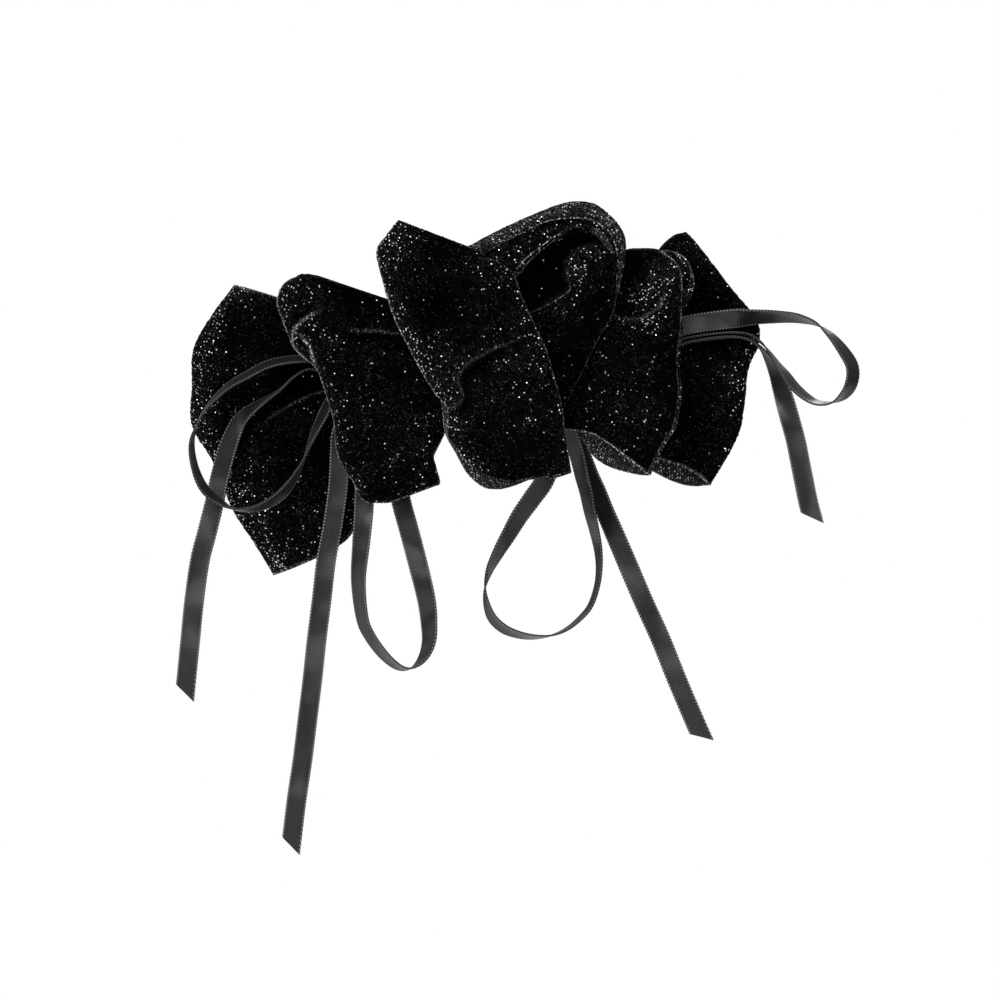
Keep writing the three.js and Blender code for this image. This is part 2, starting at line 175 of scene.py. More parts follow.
def sample(line, along, wanted):
    """The line's columns at the wanted distances along it."""
    return np.column_stack([np.interp(wanted, along, column) for column in line.T])


def smooth_line(points, fractions):
    """A smooth line through the points, sampled at fractions of its own length."""
    line = dense_line(points, 14)
    along = travelled(line)
    return sample(line, along, np.asarray(fractions) * along[-1])


def unit(v):
    return v / np.maximum(np.linalg.norm(v, axis=-1, keepdims=True), 1e-12)


def ease(t):
    """0 below 0, 1 above 1, and smooth between."""
    t = np.clip(t, 0, 1)
    return t * t * (3 - 2 * t)


# --- Materials --------------------------------------------------------------------------------

class Wire:
    """A value carried from one shader node to the next. Arithmetic on wires makes Math nodes."""

    def __init__(self, tree, socket):
        self.tree = tree
        self.socket = socket

    def other(self, output):
        """Another output of the same node."""
        return Wire(self.tree, self.socket.node.outputs[output])

    def math(self, operation, *terms):
        return node(self.tree, "Math", dict(enumerate([self, *terms])), operation=operation)

    def __add__(self, term):
        return self.math("ADD", term)

    def __sub__(self, term):
        return self.math("SUBTRACT", term)

    def __rsub__(self, term):
        return node(self.tree, "Math", {0: term, 1: self}, operation="SUBTRACT")

    def __mul__(self, term):
        return self.math("MULTIPLY", term)

    def __pow__(self, term):
        return self.math("POWER", term)

    def at_least(self, low):
        return self.math("MAXIMUM", low)

    def clamped(self):
        """Kept from 0 to 1."""
        return node(self.tree, "Clamp", {0: self})


def node(tree, kind, inputs=None, output=0, **settings):
    """A new node's output, once its settings are made and its inputs are set or linked."""
    made = tree.nodes.new("ShaderNode" + kind)
    for key, value in settings.items():
        setattr(made, key, value)
    for key, value in (inputs or {}).items():
        value = getattr(value, "socket", value)
        if isinstance(value, bpy.types.NodeSocket):
            tree.links.new(value, made.inputs[key])
        else:
            made.inputs[key].default_value = value
    return Wire(tree, made.outputs[output])


def new_material(name, **sockets):
    material = bpy.data.materials.new(name)
    material.use_nodes = True
    shader = material.node_tree.nodes["Principled BSDF"]
    for socket, value in sockets.items():
        shader.inputs[socket.replace("_", " ")].default_value = value
    return material, material.node_tree, shader


def feed(shader, **wires):
    for socket, wire in wires.items():
        wire.tree.links.new(wire.socket, shader.inputs[socket.replace("_", " ")])


def object_place(tree):
    return node(tree, "TexCoord", output="Object")


def cloth_place(tree):
    """Where the point is on the cloth, in UV_PER_METRE: along it and across it."""
    return node(tree, "UVMap", uv_map="cloth")


def stretched(place, **settings):
    return node(place.tree, "Mapping", {"Vector": place, **settings})


def grey(amount, blue=1.0):
    """A grey of that brightness, a little blue where asked."""
    return node(amount.tree, "CombineColor", {0: amount, 1: amount, 2: amount * blue})


def attribute(tree, name):
    return node(tree, "Attribute", output="Fac", attribute_name=name)


def noise(where, scale, detail=2.0):
    return node(where.tree, "TexNoise", {"Vector": where, "Scale": scale, "Detail": detail}, "Fac")


def bump(height, strength, distance, **normal):
    return node(height.tree, "Bump", {"Height": height, "Strength": strength, "Distance": distance, **normal})


def cells(where, scale, uneven=1.0):
    """The distance from the middle of the nearest cell, for that many cells in a unit of length."""
    return node(where.tree, "TexVoronoi", {"Vector": where, "Scale": scale, "Randomness": uneven}, "Distance")


def cell_shade(where, size):
    """A random shade from 0 to 1 in each cell of that size in mm."""
    return node(where.tree, "SeparateColor", {0: cells(where, 1 / (size * MM)).other("Color")}, 1)


def flakes(where, size, radius, share):
    """Glitter flakes, one in each cell of that size in mm, shown in a share of the cells.
    Gives where they are and how each one tilts."""
    distance = cells(where, 1 / (size * MM))
    spot = ((radius - distance) * 10.0).clamped()
    chance = node(where.tree, "TexWhiteNoise", {"Vector": distance.other("Position")}, noise_dimensions="3D")
    middle = {0: chance.other("Color"), 1: (0.5, 0.5, 0.5)}
    tilt = node(where.tree, "VectorMath", middle, operation="SUBTRACT")
    return spot * chance.math("LESS_THAN", share), tilt


def velvet_pile():
    """Black pile with silver glitter. Its glitter attribute sets how much glitter shows and also carries
    painted light: painted highlight along fold crests and rims, painted shade in hollows and under folds. Its
    woven-edge attribute marks woven edges and painted highlight lines along fold crests.
    """
    material, tree, shader = new_material(
        "velvet_pile", Specular_IOR_Level=0.015, Sheen_Weight=0.01, Sheen_Roughness=0.35,
    )
    where = object_place(tree)
    glitter_and_painted_light = attribute(tree, "glitter_and_painted_light")
    drifts = noise(where, 110.0) * 2.4 - 1.25
    clumps = noise(where, 420.0, 1.0) * 2.0 - 1.0
    # How much glitter shows: random drifts and clumps, plus the painted highlight and painted shade carried
    # in the glitter attribute.
    dense = glitter_and_painted_light + (drifts + clumps)
    flake, tilt = flakes(where, FLAKE_CELL, 0.3, (dense * 0.26 + 0.12).at_least(0.012))
    speck, _ = flakes(where, SPECK_CELL, 0.4, (dense * 0.4 + 0.5).at_least(0.08))
    dim = speck * cell_shade(where, SPECK_CELL) ** 2.0 * 0.07
    tone = cell_shade(where, WOVEN_CELL) ** 4.0 * 2.8 + 0.06
    # Woven edges, and painted highlight lines along fold crests.
    woven = attribute(tree, "selvedge_and_painted_sheen") * tone * 0.3
    # The pile's ground is lighter in random patches and under painted highlight, and darker under painted
    # shade.
    nap_and_painted_light = (dense * 0.45 + 0.75).clamped()
    ground = cell_shade(where, PILE_CELL) ** 2.2 * nap_and_painted_light * 0.007
    # Painted shade: the pile, dim specks and woven lines darken where the glitter attribute is low, in
    # hollows and under folds.
    painted_shade_factor = (glitter_and_painted_light * 0.8 + 2.2).clamped()
    lit = flake * 0.95 + (ground + (dim + woven)) * painted_shade_factor
    ruffled = bump(noise(where, 2600.0, 3.0), 0.5, 0.0002)
    lean = node(tree, "VectorMath", {0: tilt, 3: flake * 1.3}, operation="SCALE")
    turned = node(tree, "VectorMath", {0: ruffled, 1: lean}, operation="ADD")
    normal = node(tree, "VectorMath", {0: turned}, operation="NORMALIZE")
    feed(shader, Base_Color=grey(lit, 1.05), Metallic=flake, Roughness=flake * -0.56 + 0.9, Normal=normal)
    return material


def velvet_back():
    """The velvet's woven back: a grey mesh of dotted rows."""
    material, tree, shader = new_material(
        "velvet_back", Roughness=0.75, Specular_IOR_Level=0.15, Sheen_Weight=0.06, Sheen_Roughness=0.4,
    )
    rows = stretched(cloth_place(tree), Rotation=(0, 0, math.radians(45)))
    dots = cells(rows, 145.0, 0.35)
    dot = ((0.38 - dots) * 6.0).clamped()
    light = node(tree, "SeparateColor", {0: dots.other("Color")}) ** 3.0 * 0.85 + 0.05
    feed(shader, Base_Color=grey(dot * light + 0.007, 1.06), Normal=bump(dot, 0.6, 0.00015))
    return material


def satin_weave():
    """Black satin: fine slanted weave across the face, and dotted woven edges."""
    material, tree, shader = new_material(
        "satin_weave", Specular_IOR_Level=0.5, Sheen_Weight=0.07, Sheen_Roughness=0.35,
    )
    place = cloth_place(tree)
    where = object_place(tree)
    along = node(tree, "SeparateXYZ", {0: place})
    over = along.other(1)
    turns = 2 * math.pi / (PICOT_PITCH * UV_PER_METRE)
    slant = ((along + over) * turns).math("SINE")
    cross = (along * turns).math("SINE")
    from_middle = over.math("ABSOLUTE")
    past = ((from_middle - EDGE_FROM * UV_PER_METRE) * 600.0).clamped()
    short = ((EDGE_TO * UV_PER_METRE - from_middle) * 800.0).clamped()
    beads = past * short * (cross * 0.5 + 0.5) ** 3.0
    streaks = noise(stretched(place, Scale=(1, 14, 1)), 30.0, 4.0)
    cloth = (streaks - 0.5) * 0.012 + (slant * 0.009 + 0.0105)
    rough = noise(where, 300.0) * 0.12 + 0.26
    waves = bump(noise(where, 55.0, 1.0), 1.0, 0.004)
    weave = bump(slant * 0.4 + beads * 2.0, 0.35, 0.00006, Normal=waves)
    feed(shader, Base_Color=grey(beads * 0.38 + cloth, 1.03), Roughness=past * 0.35 + rough, Normal=weave)
    return material


def wool_felt():
    material, tree, shader = new_material(
        "wool_felt", Roughness=0.98, Specular_IOR_Level=0.08, Sheen_Weight=0.12, Sheen_Roughness=0.5,
    )
    where = object_place(tree)
    clumps = noise(where, 700.0, 5.0)
    hairs = noise(stretched(where, Scale=(1, 1, 6)), 1500.0, 4.0)
    total = clumps * 0.02 + (hairs * 0.016 + 0.002)
    feed(shader, Base_Color=grey(total, 1.05), Normal=bump(clumps + hairs, 0.8, 0.0003))
    return material


def sewing_thread():
    """Two-ply polyester: slanted bands of light and dark along the thread."""
    material, tree, shader = new_material("sewing_thread", Roughness=0.5, Specular_IOR_Level=0.4)
    along = node(tree, "SeparateXYZ", {0: cloth_place(tree)})
    band = (along * 9000.0 + along.other(1)).math("SINE") * 0.5 + 0.5
    total = band * 0.03 + (noise(object_place(tree), 900.0) * 0.02 + 0.006)
    feed(shader, Base_Color=grey(total, 1.08), Normal=bump(band, 0.6, 0.00005))
    return material


def plated_steel(name, colour, gloss):
    """Nickel-plated steel, brushed along the clip, with finger marks and fine scratches."""
    material, tree, shader = new_material(name, Metallic=1.0)
    where = object_place(tree)
    grain = noise(stretched(where, Scale=(1, 30, 30)), 120.0, 6.0)
    marks = noise(where, 130.0, 3.0)
    scratches = cells(stretched(where, Rotation=(0, 0.4, 0.3), Scale=(1, 60, 60)), 40.0)
    rough = ((0.06 - scratches) * 12.0).clamped() * 0.2 + (grain * 0.14 + (marks * 0.22 + gloss))
    shade = grey(grain * 0.12 + (marks * 0.14 + 0.8))
    tint = node(tree, "Mix", {0: 1.0, 6: (*colour, 1), 7: shade}, 2, data_type="RGBA", blend_type="MULTIPLY")
    feed(shader, Base_Color=tint, Roughness=rough, Normal=bump(grain, 0.25, 0.00004))
    return material


def pale_floor():
    """Pale on its upper face, and clear from below."""
    material, tree, shader = new_material("pale_floor", Roughness=0.9, Base_Color=(0.85, 0.85, 0.85, 1))
    below = node(tree, "NewGeometry", output="Backfacing")
    clear = node(tree, "BsdfTransparent")
    surface = node(tree, "MixShader", {0: below, 1: shader.outputs[0], 2: clear})
    feed(tree.nodes["Material Output"], Surface=surface)
    return material


PILE = velvet_pile()
BACK = velvet_back()
SATIN = satin_weave()
FELT = wool_felt()
THREAD = sewing_thread()
STEEL = plated_steel("plated_steel", (0.72, 0.73, 0.75), 0.16)
SPRING = plated_steel("plated_spring_steel", (0.66, 0.67, 0.7), 0.12)


# --- Camera -----------------------------------------------------------------------------------

def make_camera():
    data = bpy.data.cameras.new("camera")
    data.sensor_width = SENSOR
    data.lens = SENSOR * abs(CAMERA_AT[1]) / VIEW_WIDTH
    camera = bpy.data.objects.new("camera", data)
    camera.location = CAMERA_AT
    camera.rotation_euler = (math.pi / 2, 0, 0)
    bpy.context.scene.collection.objects.link(camera)
    bpy.context.scene.camera = camera


make_camera()


# --- Satin ribbons ----------------------------------------------------------------------------
# x, y, z in metres and roll in degrees, as in the CAD routes. At roll 0 the face looks along Y.

ROUTES = {
    "satin_loop_left_outer": [
        (-0.0368, -0.0202, 0.0015, 82), (-0.0425, -0.0202, 0.0055, 78), (-0.048, -0.0202, 0.0072, 72),
        (-0.0547, -0.0204, 0.0074, 68), (-0.0623, -0.021, 0.006, 66), (-0.069, -0.022, 0.0026, 67),
        (-0.0755, -0.023, -0.0014, 72), (-0.0814, -0.024, -0.0076, 81), (-0.0844, -0.0245, -0.013, 88),
        (-0.0858, -0.0245, -0.0185, 100), (-0.085, -0.0245, -0.025, 106), (-0.0825, -0.0245, -0.0312, 113),
        (-0.0787, -0.0243, -0.035, 113), (-0.0733, -0.024, -0.0381, 90), (-0.0678, -0.0235, -0.0383, 77),
        (-0.0629, -0.023, -0.0367, 66), (-0.0586, -0.0225, -0.0338, 62), (-0.0548, -0.022, -0.0291, 72),
        (-0.052, -0.0216, -0.0236, 89), (-0.0502, -0.0213, -0.0188, 102), (-0.048, -0.021, -0.0138, 113),
        (-0.0458, -0.0208, -0.0092, 122), (-0.0438, -0.0206, -0.005, 116), (-0.041, -0.0204, -0.0028, 100),
        (-0.037, -0.0202, -0.0036, 92),
    ],
    "satin_tail_left_outer": [
        (-0.037, -0.0202, -0.001, 88), (-0.042, -0.0202, 0.0014, 90), (-0.047, -0.0202, 0.0036, 90),
        (-0.0505, -0.0202, 0.0044, 89), (-0.0548, -0.0202, 0.0021, 87), (-0.059, -0.02, -0.0017, 84),
        (-0.0634, -0.02, -0.0048, 75), (-0.0678, -0.0198, -0.0078, 58), (-0.0714, -0.0196, -0.0111, 42),
        (-0.0735, -0.0193, -0.0153, 30), (-0.0754, -0.019, -0.0201, 18), (-0.0767, -0.019, -0.025, 18),
        (-0.0779, -0.019, -0.0299, 18), (-0.0791, -0.019, -0.0359, 12), (-0.0813, -0.0195, -0.045, 4),
        (-0.0835, -0.0205, -0.0538, 0), (-0.0852, -0.0215, -0.066, 0), (-0.0864, -0.022, -0.0782, 0),
        (-0.088, -0.022, -0.0944, 0),
    ],
    "satin_tail_left_inner": [
        (-0.0376, -0.0206, -0.0069, 20), (-0.0394, -0.0204, -0.0115, 8), (-0.0406, -0.0202, -0.016, 0),
        (-0.0409, -0.02, -0.0203, 0), (-0.0414, -0.02, -0.0312, 0), (-0.0432, -0.02, -0.044, 0),
        (-0.045, -0.0205, -0.0538, 0), (-0.0464, -0.021, -0.066, 0), (-0.0479, -0.0215, -0.0782, 0),
        (-0.0492, -0.022, -0.0904, 0), (-0.0507, -0.022, -0.1026, 0), (-0.0522, -0.022, -0.1148, 0),
        (-0.054, -0.022, -0.127, 0), (-0.0557, -0.022, -0.141, 0),
    ],
    "satin_loop_left_inner": [
        (-0.0332, -0.019, -0.0082, 10), (-0.0335, -0.019, -0.016, 8), (-0.0333, -0.019, -0.026, 8),
        (-0.0335, -0.0192, -0.037, 8), (-0.0344, -0.0196, -0.0489, 26), (-0.0352, -0.02, -0.0602, 42),
        (-0.034, -0.0206, -0.0715, 51), (-0.0316, -0.021, -0.0772, 55), (-0.0274, -0.0215, -0.0828, 60),
        (-0.023, -0.022, -0.0863, 70), (-0.019, -0.0224, -0.0866, 90), (-0.0156, -0.0227, -0.0836, 116),
        (-0.0137, -0.023, -0.0788, 134), (-0.0136, -0.023, -0.0732, 146), (-0.0144, -0.023, -0.0659, 158),
        (-0.0171, -0.0226, -0.0546, 170), (-0.0201, -0.0222, -0.0433, 175), (-0.0217, -0.022, -0.0376, 178),
        (-0.024, -0.0218, -0.028, 180), (-0.027, -0.0218, -0.018, 180), (-0.0305, -0.0218, -0.0084, 180),
    ],
    "satin_loop_right_inner": [
        (0.0246, -0.021, -0.0102, 170), (0.0248, -0.021, -0.0195, 170), (0.0218, -0.021, -0.029, 168),
        (0.0179, -0.0208, -0.0349, 160), (0.014, -0.0208, -0.0404, 150), (0.0106, -0.021, -0.0462, 138),
        (0.0074, -0.0213, -0.0517, 125), (0.0046, -0.0216, -0.0575, 108), (0.0034, -0.022, -0.0635, 85),
        (0.005, -0.0222, -0.0704, 65), (0.0086, -0.0224, -0.0744, 62), (0.0132, -0.0226, -0.0764, 68),
        (0.0183, -0.0228, -0.0772, 77), (0.0237, -0.023, -0.0767, 89), (0.0283, -0.0232, -0.0748, 96),
        (0.0324, -0.0234, -0.0715, 100), (0.0356, -0.0235, -0.0675, 102), (0.0376, -0.0236, -0.0614, 103),
        (0.0382, -0.0237, -0.0556, 106), (0.0378, -0.0237, -0.0501, 112), (0.0366, -0.0237, -0.0443, 118),
        (0.0353, -0.0236, -0.0388, 124), (0.0342, -0.0236, -0.0331, 129), (0.033, -0.0236, -0.0285, 132),
        (0.0314, -0.0236, -0.0218, 138), (0.0296, -0.0236, -0.0166, 146), (0.0266, -0.0234, -0.0104, 160),
    ],
    "satin_tail_right_inner": [
        (0.0288, -0.0196, -0.0122, 24), (0.0312, -0.0195, -0.0172, 25), (0.0332, -0.0195, -0.0224, 26),
        (0.0356, -0.0195, -0.0285, 26), (0.0377, -0.0195, -0.0331, 25), (0.04, -0.0195, -0.0389, 22),
        (0.0425, -0.0195, -0.0447, 17), (0.0464, -0.0198, -0.0538, 8), (0.0516, -0.0204, -0.066, 0),
        (0.0571, -0.021, -0.0782, 0), (0.062, -0.0215, -0.0904, 0), (0.0672, -0.022, -0.1026, 0),
        (0.0695, -0.022, -0.1078, 0),
    ],
    "satin_loop_right_outer": [
        (0.0292, -0.0196, -0.0016, 60), (0.0355, -0.0184, 0.0028, 20), (0.0445, -0.0178, 0.0092, 5),
        (0.0545, -0.0178, 0.0146, 0), (0.0632, -0.0178, 0.0174, 0), (0.0696, -0.0178, 0.0187, 0),
        (0.0782, -0.0182, 0.0198, 8), (0.0846, -0.0194, 0.0203, 40), (0.091, -0.0204, 0.0204, 52),
        (0.0974, -0.0212, 0.0201, 63), (0.1016, -0.0218, 0.0192, 75), (0.1047, -0.0222, 0.018, 88),
        (0.1073, -0.0226, 0.016, 104), (0.1099, -0.023, 0.0134, 116), (0.1128, -0.0234, 0.0096, 127),
        (0.115, -0.0238, 0.0058, 132), (0.1154, -0.024, 0.0022, 133), (0.1143, -0.0242, -0.0014, 128),
        (0.112, -0.0244, -0.0041, 112), (0.1086, -0.0244, -0.0059, 87), (0.1047, -0.0242, -0.0059, 75),
        (0.1013, -0.024, -0.0042, 65), (0.0979, -0.0236, -0.0012, 60), (0.0952, -0.023, 0.0024, 62),
        (0.0927, -0.0222, 0.0058, 72), (0.0902, -0.0212, 0.0096, 82), (0.0876, -0.0202, 0.0126, 90),
        (0.0842, -0.0196, 0.0149, 90), (0.0806, -0.0195, 0.0156, 88), (0.0757, -0.0195, 0.0155, 88),
        (0.069, -0.0195, 0.0147, 88), (0.0632, -0.0195, 0.0134, 88), (0.0535, -0.0195, 0.0094, 88),
        (0.042, -0.0198, 0.0018, 88), (0.0296, -0.02, -0.0046, 88),
    ],
    "satin_tail_right_outer": [
        (0.0295, -0.02, -0.0069, 88), (0.041, -0.0198, -0.001, 88), (0.053, -0.0195, 0.0069, 88),
        (0.0632, -0.0195, 0.0119, 88), (0.069, -0.0195, 0.0133, 88), (0.0757, -0.0195, 0.0141, 88),
        (0.0806, -0.0195, 0.0142, 90), (0.0846, -0.0194, 0.0131, 90), (0.0879, -0.0188, 0.0107, 86),
        (0.0903, -0.0177, 0.0072, 70), (0.0924, -0.0167, 0.0028, 52), (0.0943, -0.0168, -0.0025, 28),
        (0.0966, -0.0178, -0.0108, 8), (0.0983, -0.0184, -0.0172, 0), (0.0995, -0.019, -0.0233, 0),
        (0.1007, -0.0195, -0.0294, 0), (0.1019, -0.02, -0.0355, 0), (0.1033, -0.02, -0.041, 0),
    ],
}


def ribbon_line(route):
    """Distances along the ribbon's middle line, and the close points there with their roll."""
    dense = dense_line(route, 40)
    along = travelled(dense[:, :3])
    s = np.linspace(0, along[-1], int(along[-1] / RIBBON_STEP) + 1)
    return s, sample(dense, along, s)


def ribbon_axes(line):
    """Across and through the ribbon at each point of its middle line."""
    tangent = unit(np.gradient(line[:, :3], axis=0))
    depth = np.array([0.0, 1.0, 0.0])
    deep = unit(depth - tangent * (tangent @ depth)[:, None])
    across = np.cross(deep, tangent)
    roll = np.radians(line[:, 3])[:, None]
    wide = np.cos(roll) * across + np.sin(roll) * deep
    return wide, np.cross(tangent, wide), tangent


def ribbon(name, route):
    s, line = ribbon_line(route)
    wide, thick, tangent = ribbon_axes(line)
    centre = line[:, :3]
    tail = "tail" in name
    across = np.array([-1, -0.93, -0.8, -0.45, 0, 0.45, 0.8, 0.93, 1])
    bulk = np.array([0.5, 0.95, 0.75, 0.55, 0.5, 0.55, 0.75, 0.95, 0.5]) * RIBBON_THICKNESS
    scallop = PICOT_DEPTH * np.cos(2 * math.pi * s / PICOT_PITCH)
    rings, uv = [], []
    for side in (1, -1):
        for w, t in zip(across[::side], bulk[::side]):
            half = RIBBON_WIDTH / 2 + scallop * (abs(w) > 0.99)
            point = centre + wide * (w * half)[:, None] + thick * (side * t)
            if tail:
                pull = ease((s - s[-1] + CUT_REACH) / CUT_REACH)
                point = point - tangent * (pull * w * CUT_SLANT * RIBBON_WIDTH / 2)[:, None]
            rings.append(point)
            uv.append(np.column_stack([s, np.full(len(s), w * RIBBON_WIDTH / 2)]) * UV_PER_METRE)
    sides = len(rings)
    points = np.stack(rings, axis=1).reshape(-1, 3)
    uv = np.stack(uv, axis=1).reshape(-1, 2)
    piece = build(name + "_weave", points, skin_faces(len(s), sides), [SATIN], uv=uv)
    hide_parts(name)
    path = [tuple(p) for p in centre[::4]] + [tuple(centre[-1])]


for name, route in ROUTES.items():
    ribbon(name, route)


# --- Velvet loops -----------------------------------------------------------------------------
# Outlines and folds are (x, z) in millimetres, and depths are y in millimetres, less is nearer the viewer.

def fan(bottom, top, inner, outer, us, vs):
    """A sheet between four edges: u runs from inner to outer, v from bottom to top."""
    b = smooth_line(bottom, us)[:, None]
    t = smooth_line(top, us)[:, None]
    i = smooth_line(inner, vs)[None]
    o = smooth_line(outer, vs)[None]
    u = us[:, None, None]
    v = vs[None, :, None]
    corners = (1 - u) * ((1 - v) * b[:1] + v * t[:1]) + u * ((1 - v) * b[-1:] + v * t[-1:])
    return (1 - v) * b + v * t + (1 - u) * i + u * o - corners


def ripples(xz, seed, wave=24.0):
    """Soft uneven waves over (x, z), from -1 to 1 at most."""
    rng = np.random.default_rng(seed)
    total = np.zeros(xz.shape[:-1])
    for _ in range(RIPPLES):
        angle, length, phase = rng.uniform(0, math.pi), wave * rng.uniform(0.6, 1.6), rng.uniform(0, 6.28)
        direction = np.array([math.cos(angle), math.sin(angle)])
        total += np.sin(xz @ direction * 2 * math.pi / length + phase)
    return total / RIPPLES


def near_line(xz, points):
    """Distance from a line, positive on its left, and the share of its length at the nearest point."""
    line = smooth_line(points, np.linspace(0, 1, 60))
    flat = xz.reshape(-1, 2)
    starts, steps = line[:-1], np.diff(line, axis=0)
    lengths2 = (steps**2).sum(1)
    distance, signed, share = np.full(len(flat), 1e9), np.zeros(len(flat)), np.zeros(len(flat))
    for i, (start, step) in enumerate(zip(starts, steps)):
        off = flat - start
        t = np.clip(off @ step / lengths2[i], 0, 1)
        gap = off - t[:, None] * step
        d = np.hypot(gap[:, 0], gap[:, 1])
        closer = d < distance
        left = step[0] * off[:, 1] - step[1] * off[:, 0]
        distance = np.where(closer, d, distance)
        signed = np.where(closer, d * np.where(left > 0, 1, -1), signed)
        share = np.where(closer, (i + t) / len(steps), share)
    return signed.reshape(xz.shape[:-1]), share.reshape(xz.shape[:-1])


class Layer:
    """One layer of velvet: a grid of points with its glitter amount, which carries painted highlight and
    painted shade, and its woven-edge amount, which also carries painted highlight lines.
    """

    def __init__(self, xz, y):
        self.xz = xz
        self.y = np.broadcast_to(y, xz.shape[:2]).astype(float).copy()
        self.glitter_and_painted_light = np.zeros(xz.shape[:2])
        self.selvedge_and_painted_sheen = np.zeros(xz.shape[:2])

    def fold(self, points, height, fades, glitter_and_painted_light, line, reach=9.0):
        """A step in the cloth along a line: the side on its left comes forward by height. It also paints
        light: more glitter on the crest as painted highlight, less glitter just below it as painted shade,
        and a painted highlight line on the crest.
        """
        d, s = near_line(self.xz, points)
        ends = ease(s / fades[0]) * ease((1 - s) / fades[1])
        side = 0.5 + 0.5 * np.tanh(2 * d / FOLD_WIDTH)
        forward = side * np.exp(-np.maximum(d, 0) / reach)
        behind = (1 - side) * np.exp(np.minimum(d, 0) / (0.6 * reach))
        self.y -= height * ends * (forward - 0.25 * behind)
        # Painted highlight on the crest, painted shade in the valley below it, and a painted highlight line
        # on the crest.
        self.glitter_and_painted_light += glitter_and_painted_light * ends * np.exp(-((d - 0.9) / 1.3) ** 2)
        self.glitter_and_painted_light -= 0.9 * ends * np.exp(-((d + 1.6) / 1.5) ** 2)
        self.selvedge_and_painted_sheen += line * ends * np.exp(-((d - 0.1) / 0.35) ** 2)

    def patches(self, *patches):
        """Soft round patches (x, z, radius, glitter amount): painted highlight with more glitter where the
        amount is above 0, painted shade with less glitter where it is below 0.
        """
        for x, z, radius, glitter_and_painted_light in patches:
            d = np.hypot(*(self.xz - np.array([x, z])).transpose(2, 0, 1)) / radius
            self.glitter_and_painted_light += glitter_and_painted_light * np.exp(-(d**2))


def fold_steps(count, start, rounding):
    """Steps from the pinch to the fold, close together round the fold."""
    flat = np.linspace(0, 1 - start, int(count * 0.8), endpoint=False)
    turn = 1 - start * (1 - np.sin(np.linspace(0, math.pi / 2, rounding)))
    return np.concatenate([flat, turn])


def edge_steps(count, width):
    """Steps across the cloth, with one narrow step for the woven edge at each side."""
    e = SELVEDGE / width
    return np.concatenate([[0], np.linspace(e, 1 - e, count), [1]])


def loop_grid(front, back):
    """The front layer out to the fold and the back layer in again, as one grid of rows."""
    layers = [
        (np.dstack([layer.xz[..., 0], layer.y, layer.xz[..., 1]]), layer.glitter_and_painted_light, layer.selvedge_and_painted_sheen)
        for layer in (front, back)
    ]
    grid = [np.concatenate([out, home[::-1][1:]]) for out, home in zip(*layers)]
    return dict(zip(("points", "glitter_and_painted_light", "selvedge_and_painted_sheen"), grid))


def velvet_piece(name, grid, seed, mesh_share=1.0):
    """Thick velvet cloth from a grid, with a rounded rim all round: pile outside and woven mesh inside.
    Past mesh_share of its width, pile shows inside too, where the cloth is turned over."""
    p = grid["points"]
    rows, columns = p.shape[:2]
    normal = unit(np.cross(np.gradient(p, axis=0), np.gradient(p, axis=1)))
    if normal[rows // 4, columns // 2, 1] > 0:
        normal = -normal
    rng = np.random.default_rng(seed)
    tuft = rng.normal(0, TUFT, (rows, columns))
    outer = p + normal * tuft[..., None]
    inner = p - normal * VELVET_THICKNESS
    along = np.cumsum(np.linalg.norm(np.diff(p, axis=0, prepend=p[:1]), axis=2).mean(axis=1))
    over = np.cumsum(np.linalg.norm(np.diff(p, axis=1, prepend=p[:, :1]), axis=2).mean(axis=0))
    uv = np.dstack(np.broadcast_arrays(along[:, None], over[None, :])) * (MM * UV_PER_METRE)
    index = np.arange(rows * columns).reshape(rows, columns)
    quads = np.stack([index[:-1, :-1], index[1:, :-1], index[1:, 1:], index[:-1, 1:]], axis=-1).reshape(-1, 4)
    under = quads[:, ::-1] + rows * columns
    ring = np.concatenate([index[0, :-1], index[:-1, -1], index[-1, :0:-1], index[:0:-1, 0]])
    after = np.roll(ring, -1)
    crest = 2 * rows * columns + np.arange(len(ring))
    crest_after = np.roll(crest, -1)
    outer, inner, uv = outer.reshape(-1, 3), inner.reshape(-1, 3), uv.reshape(-1, 2)
    outward = unit(outer[ring] - rim_inside(p)[ring])
    half_way = (outer[ring] + inner[ring]) / 2 + outward * RIM_BULGE
    rim = np.concatenate([
        np.stack([ring, crest, crest_after, after], axis=-1),
        np.stack([crest, ring + rows * columns, after + rows * columns, crest_after], axis=-1),
    ])
    points = np.concatenate([outer, inner, half_way]) * MM
    faces = np.concatenate([quads, under, rim])
    inside = np.tile(np.linspace(0, 1, columns - 1) <= mesh_share, rows - 1)
    slots = np.concatenate([np.zeros(len(quads)), inside, np.zeros(len(rim))])
    glitter_and_painted_light, selvedge_and_painted_sheen = grid["glitter_and_painted_light"].ravel(), grid["selvedge_and_painted_sheen"].ravel()
    glitter_and_painted_light = np.concatenate([glitter_and_painted_light, glitter_and_painted_light, glitter_and_painted_light[ring]])
    selvedge_and_painted_sheen = np.concatenate([selvedge_and_painted_sheen, selvedge_and_painted_sheen, np.maximum(selvedge_and_painted_sheen[ring], 0.1)])
    uvs = np.concatenate([uv, uv, uv[ring]])
    piece = build(
        name + "_cloth", points, faces.tolist(), [PILE, BACK],
        face_slots=slots, uv=uvs, values={"glitter_and_painted_light": glitter_and_painted_light, "selvedge_and_painted_sheen": selvedge_and_painted_sheen},
    )
    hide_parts(name)


def rim_inside(p):
    """For each point, a point a step further inside the sheet."""
    rows, columns = p.shape[:2]
    i = np.clip(np.arange(rows), 1, rows - 2)
    j = np.clip(np.arange(columns), 1, columns - 2)
    return p[np.ix_(i, j)].reshape(-1, 3)


